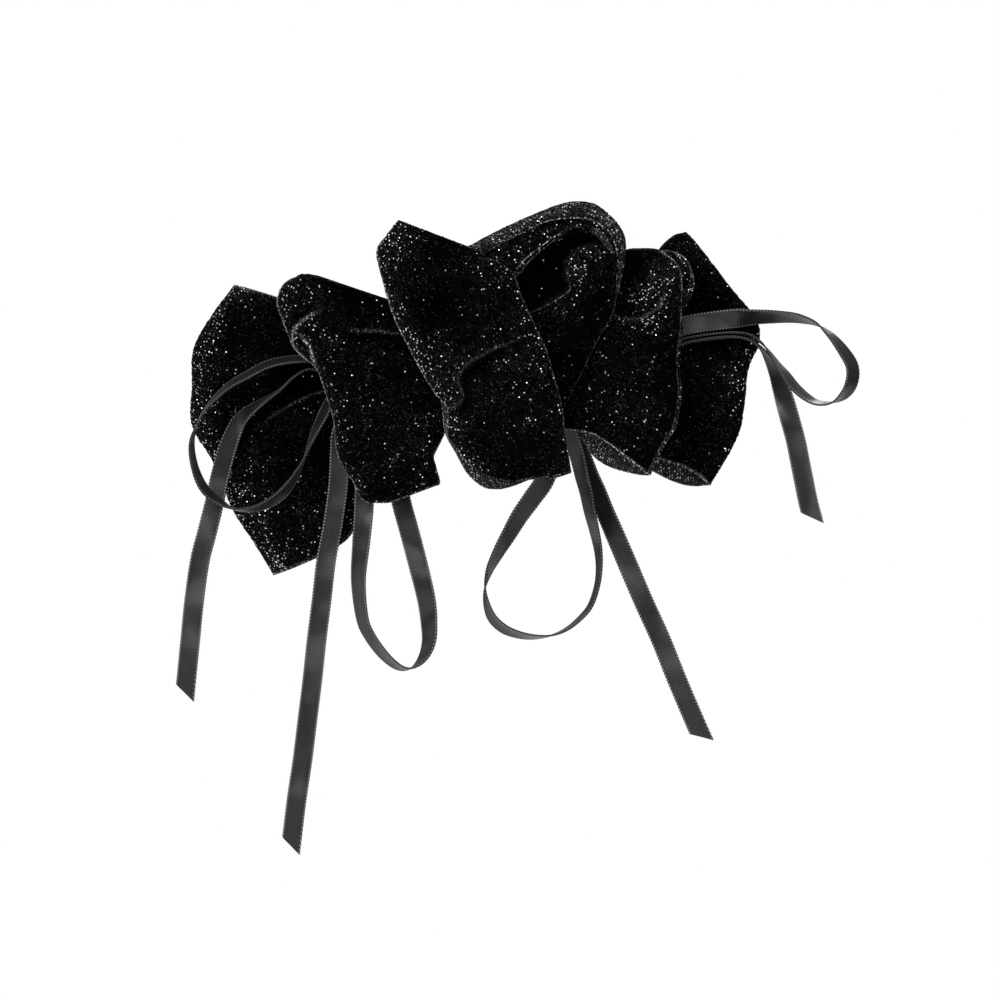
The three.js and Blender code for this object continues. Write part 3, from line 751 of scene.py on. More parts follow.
def pleats(us, vs, size, count, phase):
    """Gathers that spread from the pinch and die out towards the fold."""
    u, v = us[:, None], vs[None, :]
    wave = np.sin(2 * math.pi * (count * v + phase + 0.12 * np.sin(7 * v + 3 * phase)))
    return size * (1 - u) ** 1.4 * wave


def swell(us, start, low=0.3):
    """How far the two layers stand apart: little at the pinch, most at mid length, none at the fold."""
    u = us[:, None]
    turn = np.clip((u - (1 - start)) / start, 0, 1)
    return (low + (1 - low) * ease(u / 0.45)) * np.sqrt(np.maximum(1 - turn**2, 0))


US = fold_steps(170, 0.06, 14)
VS = edge_steps(150, 76)


def mark_edges(layer, bottom, top):
    layer.selvedge_and_painted_sheen[:, :2] += bottom * np.array([1, 0.25])
    layer.selvedge_and_painted_sheen[:, -2:] += top * np.array([0.25, 1])


def far_left_loop():
    top = [(-23, -3), (-31, -1.5), (-38, 12), (-47.5, 22), (-60.5, 26.5), (-73.5, 30.5)]
    bottom = [
        (-23, -6), (-31, -7.5), (-32.5, -20), (-34.5, -33), (-37, -44.5), (-42.5, -50), (-51.5, -54.5),
        (-61.5, -58.5),
    ]
    fold = [
        (-61.5, -58.5), (-67.5, -48.5), (-74, -38.5), (-80, -24), (-86.5, -12.5), (-86.5, -0.5), (-86, 11),
        (-80.5, 21), (-73.5, 30.5),
    ]
    pinch = [(-23, -6), (-23.3, -4.5), (-23, -3)]
    xz = fan(bottom, top, pinch, fold, US, VS)
    gathers = pleats(US, VS, 2.0, 4, 0.2)
    front = Layer(xz, -11.6 - 3.6 * swell(US, 0.06) - gathers * 0.6 + 0.7 * ripples(xz, 11))
    front.fold(
        [(-39.5, -0.5), (-46, -2), (-54, -5), (-62, -10), (-68, -14.5)],
        2.4, fades=(0.05, 0.4), glitter_and_painted_light=0.1, line=0.35,
    )
    # Painted light in the glitter amount: painted highlight near the fold and in the bright patches, painted
    # shade in the dark patches.
    front.glitter_and_painted_light += 2.2 * ease((US[:, None] - 0.88) / 0.12) - 0.45
    front.patches(
        (-50, 25, 8, 1.2), (-70, 27, 6, 0.8), (-64, 4, 8, 0.6), (-62, -46, 12, 0.7), (-74, -28, 9, 0.5),
        (-42, -40, 10, 0.5), (-62, 17, 9, -0.6), (-55, 6, 8, -1.2), (-45, 8, 9, -1.4),
    )
    mark_edges(front, bottom=0.3, top=0.25)
    back = Layer(xz, -11.6 + 3.4 * swell(US, 0.06) - gathers * 0.4 + 0.6 * ripples(xz, 12))
    return loop_grid(front, back)


def left_loop():
    top = [
        (-2, -1.5), (-5.5, 0), (-10.5, 13), (-17.5, 22.5), (-26, 25.4), (-39, 29.8), (-48.2, 32.9),
        (-52, 33.4),
    ]
    bottom = [
        (-2, -6), (-6.5, -7.5), (-8.8, -15), (-11.2, -20), (-12.1, -22.6), (-11.3, -26), (-10.3, -30.2),
        (-12.5, -31.4), (-17.5, -33.3), (-24.5, -36), (-31.5, -36.5),
    ]
    fold = [
        (-31.5, -36.5), (-34.5, -34.5), (-36.5, -30), (-39, -26.5), (-41.5, -21), (-42.5, -11.5),
        (-44.5, -4.5), (-46.4, 1.4), (-48.2, 5), (-51.5, 7.5), (-54.5, 10.5), (-56.2, 14.5), (-58.2, 19.5),
        (-59.6, 24.5), (-57.5, 30), (-52, 33),
    ]
    pinch = [(-2, -6), (-2.4, -3.8), (-2, -1.5)]
    xz = fan(bottom, top, pinch, fold, US, VS)
    gathers = pleats(US, VS, 2.2, 4, 0.55)
    front = Layer(xz, -31 - 5.0 * swell(US, 0.07) - gathers * 0.6 + 0.9 * ripples(xz, 21))
    front.fold(
        [(-45.5, 22), (-50.7, 19.4), (-53.2, 17.4), (-54.8, 14.5), (-54.2, 10.5), (-50.7, 6.8), (-47.4, 3.6)],
        2.6, fades=(0.2, 0.02), reach=12, glitter_and_painted_light=1.0, line=1.0,
    )
    front.fold(
        [(-52.6, 15), (-51.4, 12.9), (-49.7, 10.8), (-48.8, 8), (-47.8, 4.5)],
        0.6, fades=(0.2, 0.2), reach=4, glitter_and_painted_light=1.2, line=1.0,
    )
    front.fold(
        [(-39, 15.5), (-30.5, 15.5), (-21, 14.5)],
        0.8, fades=(0.3, 0.3), reach=5, glitter_and_painted_light=0.1, line=0.4,
    )
    # Painted light in the glitter amount: painted highlight near the fold and in the bright patches, painted
    # shade in the dark patches.
    front.glitter_and_painted_light += 1.0 * ease((US[:, None] - 0.9) / 0.1) - 0.5
    front.patches(
        (-52, 29, 7, 0.7), (-47, 22, 5, 0.8), (-46, 10, 6, 0.7), (-20, -14, 12, 0.6), (-32, 3, 9, 0.3),
        (-38, 25, 8, -0.7), (-24, 20, 8, -0.3), (-26, 0, 6, -0.5),
    )
    mark_edges(front, bottom=0.3, top=0.1)
    # A painted highlight line along the fold.
    front.selvedge_and_painted_sheen += ease((US[:, None] - 0.993) / 0.007) * (VS[None, :] < 0.97)
    back = Layer(xz, -31 + 4.6 * swell(US, 0.07) - gathers * 0.4 + 0.6 * ripples(xz, 22))
    return loop_grid(front, back)


def front_loop():
    left = [
        (7.5, -29), (2.5, -27.5), (-2, -24), (-6, -19), (-8, -16), (-8, -8), (-12, -3), (-17, 5.5),
        (-24, 19.5), (-28, 33), (-29, 39.5), (-26, 44), (-22.5, 48.5),
    ]
    right = [
        (29.5, -27.2), (27.5, -15), (26.5, -6.5), (24, 2.5), (22, 9.5), (18, 18), (14.5, 26), (11.5, 33),
        (4, 37.5), (-1.5, 40.5),
    ]
    foot = [(7.5, -29), (12, -30), (18, -29.2), (24, -28.8), (29.5, -27.2)]
    crown = [(-22.5, 48.5), (-9.5, 43.5), (-1.5, 40.5)]
    us = fold_steps(200, 0.05, 14)
    vs = edge_steps(120, 45)
    xz = fan(left, right, foot, crown, us, vs)
    bow_out = np.sin(math.pi * np.clip(vs, 0, 1))[None, :] ** 0.7
    front = Layer(xz, -46.6 - 2.6 * bow_out - 2.2 * swell(us, 0.05, 0.9) + 0.7 * ripples(xz, 31))
    front.fold(
        [
            (-8, -8.5), (-5.2, -7.5), (-3, -5), (-3.7, -1.5), (-4.2, 1.3), (-1.5, 5), (2.5, 7.6), (7, 10),
            (11, 11.5), (16, 13.5),
        ],
        3.4, fades=(0.05, 0.3), reach=11, glitter_and_painted_light=0.5, line=0.22,
    )
    v = vs[None, :]
    # Painted light in the glitter amount: painted highlight along both long edges and in the bright patches,
    # painted shade in the dark patches.
    front.glitter_and_painted_light += 2.0 * np.exp(-(v / 0.12) ** 2) - 0.38
    front.glitter_and_painted_light += 0.6 * np.exp(-((1 - v) / 0.1) ** 2)
    front.patches(
        (-23, 42, 7, 0.9), (6, 33, 7, 0.9), (-9, 8, 8, 0.9), (-11, 24, 10, -0.7), (-4, 14, 7, -0.3),
        (8, 0, 12, 0.4), (15, -18, 12, -0.1),
    )
    mark_edges(front, bottom=0.9, top=0.3)
    front.selvedge_and_painted_sheen[:2] += 0.2
    back_left = [
        (8, -32.3), (3.4, -31.7), (-1.4, -27.8), (-5, -21.6), (-8.4, -15), (-10, -4), (-16, 6), (-22, 18.5),
        (-27, 32), (-28, 39.5), (-26, 44), (-22.5, 48.5),
    ]
    back_foot = [(8, -32.3), (12, -31.2), (18, -28.8), (24, -27.2), (28.5, -25.5)]
    back_right = [
        (28.5, -25.5), (26.5, -15), (25.5, -6.5), (23, 2.5), (21, 9.5), (17, 18), (13.5, 26), (10.5, 33),
        (4, 37), (-1.5, 40.5),
    ]
    back_xz = fan(back_left, back_right, back_foot, crown, us, vs)
    back = Layer(back_xz, -42.4 - 4.2 * (1 - swell(us, 0.05, 0.9)) + 0.5 * ripples(back_xz, 32))
    front.y[-1] = back.y[-1] = -46.6
    mark_edges(back, bottom=0.8, top=0.4)
    return loop_grid(front, back)


def centre_loop():
    rows = [
        (-31.2, [
            (-1.5, 41.5), (5, 45), (11.2, 48), (16.3, 50.3), (21.6, 52.5), (26.2, 54.2), (30.2, 55),
            (34, 54.9), (37, 54.1), (39.6, 52.3), (42.6, 49.6), (45, 46.4), (46.1, 43), (46.2, 39.5),
            (45.6, 35), (44.2, 28),
        ]),
        (-33.0, [
            (0, 41), (7.5, 44.5), (14, 47.9), (21.8, 51.4), (28, 53.2), (34, 53.3), (38, 51.6), (41.6, 48.2),
            (43.8, 45), (44.9, 41), (44.6, 35.5), (43.4, 26),
        ]),
        (-34.4, [
            (2.8, 39.2), (11.9, 44), (21.2, 48.6), (27.5, 49.8), (34, 49.8), (38.6, 47.8), (41.8, 44.7),
            (43.7, 38), (43.4, 31.5), (42.6, 23.8),
        ]),
        (-34.3, [
            (3.4, 38.4), (12.3, 43.1), (21.2, 47.6), (27.5, 48.9), (33.8, 48.9), (38, 47), (41, 43.9),
            (42.8, 38), (42.6, 33), (42.2, 26),
        ]),
        (-35.2, [
            (13.5, 34), (16.3, 37.4), (20, 40.4), (23.7, 43.3), (26.1, 44.9), (29, 46.6), (32.2, 46.9),
            (36, 46), (39, 44), (40.5, 41.5), (41.8, 38.5),
        ]),
        (-33.4, [
            (13, 31), (17.5, 36), (22, 39.8), (26.2, 42.8), (30.5, 45), (34.7, 45), (38, 43), (40, 40.6),
            (41.9, 38.2),
        ]),
        (-32.6, [
            (13, 25), (17.5, 27.8), (21.5, 31), (25, 34), (26.4, 37), (28, 40), (30.8, 42.4), (35, 43.4),
            (38.8, 42.4), (41, 40.4), (42.2, 37),
        ]),
        (-33.6, [
            (13, 21.6), (18.5, 23.2), (23, 25.8), (26.6, 28.2), (28, 30.2), (27.4, 32.5), (27.4, 35.5),
            (28.8, 38.8), (31.6, 41), (34.8, 42.2), (38.4, 41.9), (41.2, 40), (42.4, 36.6),
        ]),
        (-38.2, [
            (13, 20), (18.9, 21.7), (23.6, 24.2), (27.5, 26.4), (29.4, 28.6), (28.6, 31.4), (28.5, 34.3),
            (29.8, 37.8), (32.3, 39.8), (34.8, 41), (38, 41), (41, 39.4), (42.6, 36),
        ]),
        (-39.0, [
            (13.6, 17.6), (19.2, 19.6), (24.5, 21.9), (29, 24.6), (31.2, 27.8), (31.2, 31.5), (31.4, 34.2),
            (32.6, 36.6), (35.2, 38.2), (38, 38.6), (40.8, 37.2), (42.8, 33.5),
        ]),
        (-39.2, [
            (15, 13), (20, 16.5), (26, 20), (31.5, 24), (33.8, 29), (34.2, 32.5), (35.6, 34.6), (38, 35.2),
            (41, 33.6), (43, 29.5),
        ]),
        (-38.4, [
            (16.5, 8), (22, 11), (27.5, 14.5), (32, 18), (35, 22), (36.5, 25), (38, 26.8), (40, 26.8),
            (41.5, 25.6), (42.2, 21.8),
        ]),
        (-36, [
            (19, 0), (23, 2.5), (27, 5.5), (30, 8.5), (32.5, 11.5), (34, 13.4), (35.3, 14.6), (36.6, 15.1),
            (37.4, 14.6), (37.8, 13.6),
        ]),
        (-33.5, [
            (21, -5), (23.5, -4), (25.5, -2.5), (27.5, -1), (29, 0.4), (30, 1.4), (30.8, 2), (31.5, 2.2),
            (32, 1.6),
        ]),
        (-31, [(21, -10), (22.5, -9.8), (24, -9.6), (25.5, -9.3), (26.5, -9)]),
    ]
    vs = edge_steps(150, 70)
    sections = np.stack([
        np.column_stack([smooth_line(points, vs), np.full(len(vs), y)]) for y, points in rows
    ])
    even = np.linspace(0, len(rows) - 1, 1000)
    middle = loft(sections, even)[:, len(vs) // 2]
    travel = travelled(middle)
    steps = np.interp(np.linspace(0, travel[-1], 170), travel, even)
    lines = np.concatenate([np.linspace(at - 0.09, at + 0.09, 9) for at in (2.15, 3.93, 4.3, 8)])
    steps = np.sort(np.concatenate([steps, lines]))
    lofted = loft(sections, steps)
    front = Layer(lofted[..., :2], lofted[..., 2] + 0.5 * ripples(lofted[..., :2], 41, wave=16))
    along = steps[:, None]
    # Painted light in the glitter amount: painted highlight over the outer band and the roll, painted shade
    # deep in the hollow and towards the pinch.
    front.glitter_and_painted_light += 1.7 * np.exp(-((along - 1.0) / 0.9) ** 2)
    front.glitter_and_painted_light += 0.7 * np.exp(-((along - 3.7) / 0.45) ** 2)
    front.glitter_and_painted_light -= 2.8 * np.exp(-((along - 6.0) / 0.95) ** 2) * left_share(vs, 0.75)
    front.glitter_and_painted_light -= 0.7 * np.exp(-((along - 11.8) / 1.3) ** 2)
    front.patches((31, 33, 3.5, 1.5), (33.5, 38.5, 3.5, 1.2), (40, 47, 3, 1.2), (38, 28, 6, -0.3))
    # Light lines at the woven edges of the turned layers and the lip, and a faint wide band of painted sheen
    # over the outer band.
    front.selvedge_and_painted_sheen += 1.3 * np.exp(-((along - 2.15) / 0.1) ** 2)
    front.selvedge_and_painted_sheen += 0.14 * np.exp(-((along - 0.9) / 0.7) ** 2)
    front.selvedge_and_painted_sheen += 1.8 * np.exp(-((along - 3.93) / 0.022) ** 2) * left_share(vs, 0.65)
    front.selvedge_and_painted_sheen += 0.8 * np.exp(-((along - 4.3) / 0.07) ** 2) * left_share(vs, 0.5)
    front.selvedge_and_painted_sheen += 0.35 * np.exp(-((along - 8.0) / 0.08) ** 2) * left_share(vs, 0.6)
    mark_edges(front, bottom=0.0, top=0.1)
    u = np.linspace(0, 1, 40)[:, None]
    outer, inner = sections[0], sections[-1]
    flat = (1 - u[..., None]) * inner[None, :, :2] + u[..., None] * outer[None, :, :2]
    back = Layer(flat, -30.3 + 0.2 * ripples(flat, 42) - 0.3 * u)
    front.xz, front.y = front.xz[::-1], front.y[::-1]
    front.glitter_and_painted_light, front.selvedge_and_painted_sheen = front.glitter_and_painted_light[::-1], front.selvedge_and_painted_sheen[::-1]
    return loop_grid(front, back)


def loft(sections, steps):
    """Rows between the sections, at steps counted in sections."""
    p = carried_on(sections)
    i = np.clip(steps.astype(int), 0, len(sections) - 2)
    return spline(p[i], p[i + 1], p[i + 2], p[i + 3], (steps - i)[:, None, None])


def left_share(vs, limit):
    """1 on the left part of the sheet, falling to 0 past the limit."""
    return ease((limit - vs[None, :]) / 0.12 + 0.5)


def right_loop():
    top = [
        (16, -2), (22, -1.5), (29, -0.5), (37, 16), (40.5, 29), (43, 38), (46, 40.2), (50.5, 40.7),
        (56, 40.3), (59.9, 37.9), (62, 35.6), (63.1, 32.6), (63.2, 27),
    ]
    bottom = [(16, -9), (22, -12.5), (28, -14), (35, -15), (40.5, -18), (47, -23), (53, -27.5)]
    fold = [
        (53, -27.5), (54.5, -24), (57, -19), (60.5, -13.5), (61.5, -9.5), (62.3, -3), (61.9, 3), (61.9, 9),
        (62.5, 14), (63, 21), (63.2, 27),
    ]
    pinch = [(16, -9), (15.7, -5), (16, -2)]
    xz = fan(bottom, top, pinch, fold, US, VS)
    gathers = pleats(US, VS, 1.2, 3, 0.1)
    front = Layer(xz, -27.4 - 2.4 * swell(US, 0.05) - gathers * 0.6 + 0.6 * ripples(xz, 51))
    front.fold(
        [(57.5, 27), (56.4, 23.8), (55.1, 22.2), (53, 21), (50.6, 19.8), (46.5, 19.6), (43, 20.4), (38, 22)],
        2.2, fades=(0.1, 0.15), reach=14, glitter_and_painted_light=1.6, line=0.22,
    )
    # Painted light in the glitter amount: painted highlight in the bright patches, painted shade in the
    # pocket and the dark patches.
    front.glitter_and_painted_light -= 0.5
    front.patches(
        (57.5, 31, 6, 2.0), (52, 25, 7, 1.6), (46.5, 34, 6, -1.8), (46, 12, 9, 0.5), (42, -4, 9, 0.5),
        (52, -16, 9, 0.4), (56, 4, 9, -0.2),
    )
    mark_edges(front, bottom=1.0, top=0.1)
    rim, _ = near_line(xz, fold + [(63.1, 32.6), (62, 35.6), (59.9, 37.9), (56.5, 40)])
    # A light line along the fold and the top: painted highlight where the cloth turns at the fold, woven edge
    # along the top.
    front.selvedge_and_painted_sheen += 0.7 * np.exp(-((rim + 0.1) / 0.3) ** 2)
    back_top = [
        (16, -2), (22, -1.5), (31, 1), (41.5, 25.5), (50.5, 39), (58.5, 40.3), (61.6, 39.6), (64, 38.2),
        (65.9, 35.6), (66.9, 32.4),
    ]
    back_bottom = [
        (16, -9), (22, -11), (28, -12), (31, -14), (34, -18.5), (37, -22.5), (42, -25.5), (48.5, -27.3),
        (53, -28),
    ]
    back_fold = [
        (53, -28), (57, -19), (62, -9.5), (62.6, -1.5), (62.9, 13), (63.3, 21.2), (64.5, 23.4), (66.1, 26.3),
        (66.9, 29.4), (66.9, 32.4),
    ]
    back_xz = fan(back_bottom, back_top, pinch, back_fold, US, VS)
    back = Layer(back_xz, -27.4 + 2.9 * swell(US, 0.03) + 0.35 * ripples(back_xz, 52))
    # Painted highlight on the back layer near its upper fold, and a light line along its fold and top:
    # painted highlight at the fold, woven edge at the top.
    back.patches((65, 33, 7, 1.2))
    mark_edges(back, bottom=0.8, top=0.15)
    rim, _ = near_line(back_xz, back_fold[5:] + back_top[:5:-1])
    back.selvedge_and_painted_sheen += 0.45 * np.exp(-(rim / 0.35) ** 2)
    grid = loop_grid(front, back)
    # Rows that round the fold over from the front layer to the back, with painted highlight in their glitter
    # and no woven edge.
    turn = len(US)
    share = np.array([0.08, 0.25, 0.5, 0.75, 0.92])[:, None, None]
    start, end = grid["points"][turn - 1], grid["points"][turn]
    over = start + (end - start) * share - np.array([0, 0.7, 0]) * np.sin(math.pi * share)
    for key, rows in (("points", over), ("glitter_and_painted_light", 0.9), ("selvedge_and_painted_sheen", 0.0)):
        grid[key] = np.insert(grid[key], [turn] * len(over), rows, axis=0)
    return grid


def far_right_loop():
    top = [
        (16.5, -2), (30, -1), (41.5, 2), (48, 19.5), (52.5, 35), (57, 41.4), (59.2, 43.8), (62, 45.8),
        (65, 46.7),
    ]
    bottom = [
        (16.5, -6), (30, -6.5), (40, -9), (51, -18.5), (56.5, -22.5), (63.5, -25), (67.5, -27), (72.5, -31),
    ]
    fold = [
        (72.5, -31), (74, -28.5), (79, -20), (81.8, -13.5), (82.8, -7.6), (83.4, -3), (83.9, 3), (85.2, 7.4),
        (87, 11), (87.8, 15), (87.2, 18.8), (84.8, 22.6), (79.7, 28.6), (75.6, 33.9), (71.5, 39.3),
        (67, 44.8), (65, 46.7),
    ]
    pinch = [(16.5, -6), (16.2, -4), (16.5, -2)]
    xz = fan(bottom, top, pinch, fold, US, VS)
    gathers = pleats(US, VS, 1.6, 4, 0.35)
    front = Layer(xz, -11.4 - 3.2 * swell(US, 0.05) - gathers * 0.6 + 0.7 * ripples(xz, 61))
    # Painted light in the glitter amount: painted highlight near the fold and in the bright patches, painted
    # shade in the dark patch.
    front.glitter_and_painted_light += 0.7 * ease((US[:, None] - 0.86) / 0.14) - 0.75
    front.patches((64, 42, 5, 0.6), (72, 4, 9, 0.8), (80, -2, 7, 0.5), (72, 26, 8, -0.6))
    mark_edges(front, bottom=0.7, top=0.1)
    back_bottom = [
        (16.5, -6), (30, -7), (40, -11), (51, -24), (55, -26.5), (61, -29.5), (66.5, -31), (72.5, -31),
    ]
    back_xz = fan(back_bottom, top, pinch, fold, US, VS)
    back = Layer(back_xz, -11.4 + 3.3 * swell(US, 0.05) - gathers * 0.3 + 0.5 * ripples(back_xz, 62))
    mark_edges(back, bottom=0.6, top=0.1)
    return loop_grid(front, back)


# Each loop's cloth laid flat is a fan, narrow at the pinch.
velvet_piece("velvet_loop_far_left", far_left_loop(), 1)
velvet_piece("velvet_loop_left", left_loop(), 2)
velvet_piece("velvet_loop_front", front_loop(), 3)
velvet_piece("velvet_loop_centre", centre_loop(), 4)
velvet_piece("velvet_loop_right", right_loop(), 5, mesh_share=0.55)
velvet_piece("velvet_loop_far_right", far_right_loop(), 6)


# --- Gathered core and knots -------------------------------------------------------------------

def arch(x):
    """The clip's curve, in millimetres: flat over the seat, then rising to both ends."""
    return max(0.0, abs(x) - SEAT_HALF) ** 2 / (2 * ARCH_RADIUS)


def middle_and_half(node_name):
    """The middle of a CAD node's box, and half its size."""
    low, high = (np.array(corner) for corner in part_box(node_name))
    return (low + high) / 2, (high - low) / 2


def gather_core():
    """The stitched bundle of pleats behind the loops, drawn in at its waist and pressed against the felt."""
    centre, half = middle_and_half("velvet_gather_core")
    rings, angles = [], np.linspace(0, 2 * math.pi, 160, endpoint=False)
    for t in np.linspace(-1, 1, 60):
        waist = 1 - 0.16 * math.exp(-((t / 0.2) ** 2))
        shoulder = 1 - abs(t) ** 6 * 0.35
        square = (np.abs(np.cos(angles)) ** 4 + np.abs(np.sin(angles)) ** 4) ** -0.25
        pleat = np.abs(np.sin(9 * angles + 1.3 * math.sin(3 * t))) ** 0.6
        ridge = 1 - 0.09 * pleat - 0.02 * np.sin(4 * angles + 5 * t)
        radius = square * ridge * waist * shoulder * 0.96
        x = np.full(len(angles), centre[0] + half[0] * t)
        deep = centre[1] + half[1] * radius * np.where(np.cos(angles) > 0, BACK_BULGE, 1) * np.cos(angles)
        band = BAND_PROUD * math.exp(-(((abs(x[0]) - BAND_X) / 0.0025) ** 4))
        seat = (arch(x[0] / MM) - FELT_FRONT) * MM - band
        deep = seat - np.log1p(np.exp((seat - deep) / PRESSED)) * PRESSED
        rings.append(np.column_stack([x, deep, centre[2] + half[2] * radius * np.sin(angles)]))
    points = np.concatenate(rings)
    values = {"glitter_and_painted_light": np.full(len(points), -0.2), "selvedge_and_painted_sheen": np.zeros(len(points))}
    uv = points[:, [0, 2]] * UV_PER_METRE
    piece = build("velvet_gathers", points, skin_faces(60, 160), [PILE], uv=uv, values=values)
    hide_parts("velvet_gather_core")


def satin_knot(node_name, name, lean):
    """A knot: a flat ribbon wound round itself, with creases that run with the winding."""
    centre, half = middle_and_half(node_name)
    rings, uv = [], []
    angles = np.linspace(0, 2 * math.pi, 120, endpoint=False)
    for t in np.linspace(-0.97, 0.97, 50):
        wide = math.sqrt(1 - t * t) ** 0.8
        wrap = np.abs(np.sin(1.5 * angles + lean * 2.4 * t)) ** 0.35
        crease = 0.02 * np.sin(9 * t + 4 * np.sin(angles))
        radius = wide * (0.86 + 0.14 * wrap + crease)
        ring = np.column_stack([radius * np.cos(angles), radius * np.sin(angles), np.full(len(angles), t)])
        turn = lean * 0.5
        x = ring[:, 0] * math.cos(turn) - ring[:, 2] * math.sin(turn)
        z = ring[:, 0] * math.sin(turn) + ring[:, 2] * math.cos(turn)
        rings.append(centre + half * np.column_stack([x, ring[:, 1], z]))
        uv.append(np.column_stack([angles * 0.04, np.full(len(angles), t * 0.02)]))
    piece = build(name, np.concatenate(rings), skin_faces(50, 120), [SATIN], uv=np.concatenate(uv))
    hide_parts(node_name)


gather_core()
satin_knot("satin_knot_left", "satin_knot_left_wraps", 1)
satin_knot("satin_knot_right", "satin_knot_right_wraps", -1)


# --- Felt, thread and clip ----------------------------------------------------------------------

def felt_strip():
    _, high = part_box("felt_backing")
    half_length, half_width = high[0] / MM, high[2] / MM
    rng = np.random.default_rng(7)
    angles = np.linspace(0, 2 * math.pi, 72, endpoint=False)
    rings = []
    stations = np.linspace(-1, 1, 240)
    for t in stations:
        end = max(0.0, 1 - abs(t) ** 40) ** 0.5
        x = half_length * t
        wide = half_width * (0.45 + 0.55 * end) * (1 - 0.012 * math.sin(0.9 * x))
        flat = np.sign(np.cos(angles)) * np.abs(np.cos(angles)) ** 0.25 * FELT_THICKNESS / 2
        over = np.sign(np.sin(angles)) * np.abs(np.sin(angles)) ** 0.5 * wide
        fuzz = rng.normal(0, 0.05, (len(angles), 2))
        y = arch(x) - FELT_MIDDLE + flat + fuzz[:, 0]
        rings.append(np.column_stack([np.full(len(angles), x), y, over + fuzz[:, 1]]))
    points = np.concatenate(rings) * MM
    piece = build("felt_strip", points, skin_faces(len(stations), 72), [FELT])
    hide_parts("felt_backing")


def thread_tube(name, path, radius, normals, replaced=None):
    """A round thread along a path in millimetres."""
    tangent = unit(np.gradient(path, axis=0))
    side = unit(np.cross(tangent, normals))
    up = np.cross(side, tangent)
    angles = np.linspace(0, 2 * math.pi, 8, endpoint=False)
    turn = angles[None, :, None]
    rings = path[:, None] + radius * (np.cos(turn) * up[:, None] + np.sin(turn) * side[:, None])
    along = travelled(path) * MM
    uv = np.dstack(np.broadcast_arrays(along[:, None], angles[None, :])).reshape(-1, 2)
    points = rings.reshape(-1, 3) * MM
    piece = build(name, points, skin_faces(len(path), 8), [THREAD], uv=uv)
    if replaced:
        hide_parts(replaced)


def wound_band(node_name, name, seed):
    """Close turns of thread round the plate and the felt."""
    low, high = (np.array(corner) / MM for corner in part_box(node_name))
    rng = np.random.default_rng(seed)
    corners = [
        (high[1] - 0.3, 0), (high[1] - 0.35, high[2] - 2.2), (high[1] - 1.9, high[2] - 0.8),
        (low[1] + 1.3, high[2] - 0.35), (low[1] + 0.35, high[2] - 1.4), (low[1] + 0.3, 0),
        (low[1] + 0.35, low[2] + 1.4), (low[1] + 1.3, low[2] + 0.35), (high[1] - 1.9, low[2] + 0.8),
        (high[1] - 0.35, low[2] + 2.2), (high[1] - 0.3, 0),
    ]
    turn = smooth_line(corners, np.linspace(0, 1, 72, endpoint=False))
    path = []
    pitch = (high[0] - low[0] - 2 * THREAD_RADIUS) / THREAD_TURNS
    for k in range(THREAD_TURNS):
        wobble = rng.uniform(-0.05, 0.05)
        for i, (y, z) in enumerate(turn):
            sway = wobble * math.sin(math.pi * i / len(turn))
            path.append((low[0] + THREAD_RADIUS + pitch * (k + i / len(turn)) + sway, y, z))
    path = np.array(path)
    outward = path - np.array([0, (low[1] + high[1]) / 2, 0])
    outward[:, 0] = 0
    thread_tube(name, path, THREAD_RADIUS, unit(outward), replaced=node_name)


def whip_stitches():
    """Slanted stitches over the felt's long edges, which sew the felt to the bow."""
    for side, word in ((1, "upper"), (-1, "lower")):
        steps = np.linspace(0, 1, 1400)
        x = 2 * STITCHED_HALF * steps - STITCHED_HALF
        phase = 2 * math.pi * STITCHES * steps
        base = np.array([arch(v) for v in x])
        y = base - FELT_MIDDLE + 0.95 * np.cos(phase)
        z = side * (5.55 + 0.75 * np.sin(phase))
        path = np.column_stack([x, y, z])
        outward = np.column_stack([np.zeros(len(x)), np.cos(phase), side * np.sin(phase)])
        thread_tube("felt_stitches_" + word, path, STITCH_RADIUS, unit(outward))


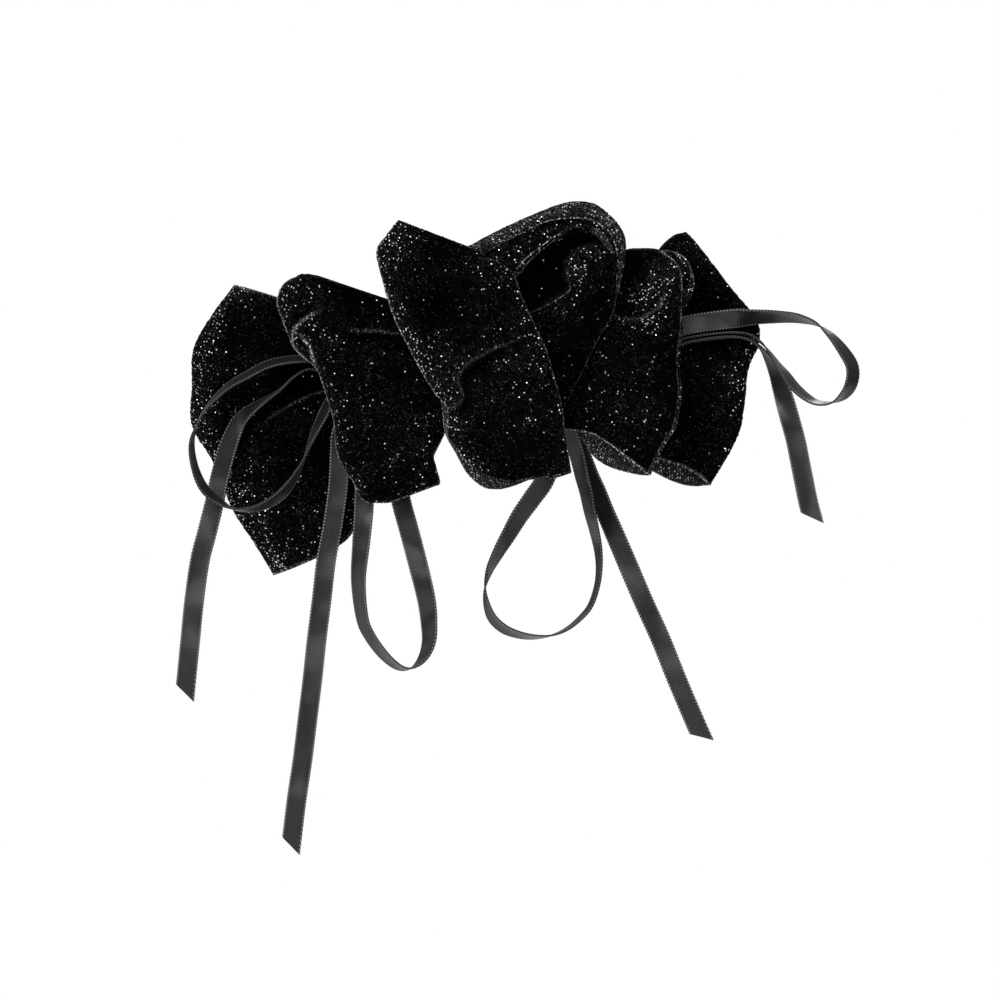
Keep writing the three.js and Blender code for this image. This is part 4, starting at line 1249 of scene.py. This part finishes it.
felt_strip()
wound_band("thread_wrap_left", "thread_band_left", 8)
wound_band("thread_wrap_right", "thread_band_right", 9)
whip_stitches()

METALS = {
    STEEL: ("base_plate", "hinge_pin", "clasp_arm", "leaf_rivet"),
    SPRING: ("tension_leaf", "catch_prong_upper", "catch_prong_lower"),
}
for metal, names in METALS.items():
    for name in names:
        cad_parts[name].data.materials.clear()
        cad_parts[name].data.materials.append(metal)


# --- Floor and light ----------------------------------------------------------------------------

def make_floor():
    mesh = bpy.data.meshes.new("floor")
    corners = [(x * FLOOR_HALF, y * FLOOR_HALF, FLOOR_Z) for x, y in ((-1, -1), (1, -1), (1, 1), (-1, 1))]
    mesh.from_pydata(corners, [], [(0, 1, 2, 3)])
    mesh.materials.append(pale_floor())
    floor = bpy.data.objects.new("floor", mesh)
    bpy.context.scene.collection.objects.link(floor)


def area_light(name, place, size, power):
    data = bpy.data.lights.new(name, "AREA")
    data.size = size
    data.energy = power
    light = bpy.data.objects.new(name, data)
    light.location = place
    light.rotation_euler = (Vector(LIGHTS_AIM) - Vector(place)).to_track_quat("-Z", "Y").to_euler()
    bpy.context.scene.collection.objects.link(light)


def make_world():
    """White to the camera. The object is lit from a pale ceiling, with dimmer walls."""
    world = bpy.data.worlds.new("studio")
    bpy.context.scene.world = world
    world.use_nodes = True
    tree = world.node_tree
    seen = node(tree, "LightPath", output="Is Camera Ray")
    height = node(tree, "SeparateXYZ", {0: node(tree, "TexCoord", output="Generated")}, 2)
    room = (height * 1.2 + 0.1).clamped() * 0.4 + 0.06
    background = tree.nodes["Background"]
    background.inputs["Color"].default_value = (1, 1, 1, 1)
    feed(background, Strength=seen.at_least(room))


make_floor()
area_light("key", (-0.9, -1.3, 1.1), 1.0, 22)
area_light("front", (-0.2, -2.0, 0.45), 1.0, 6)
area_light("fill", (1.3, -1.2, 0.3), 1.2, 4)
area_light("side", (-1.8, 0.1, 0.05), 1.2, 5)
area_light("rim", (0.3, 1.4, 1.2), 1.0, 14)
make_world()
bpy.context.scene.view_settings.view_transform = "Standard"
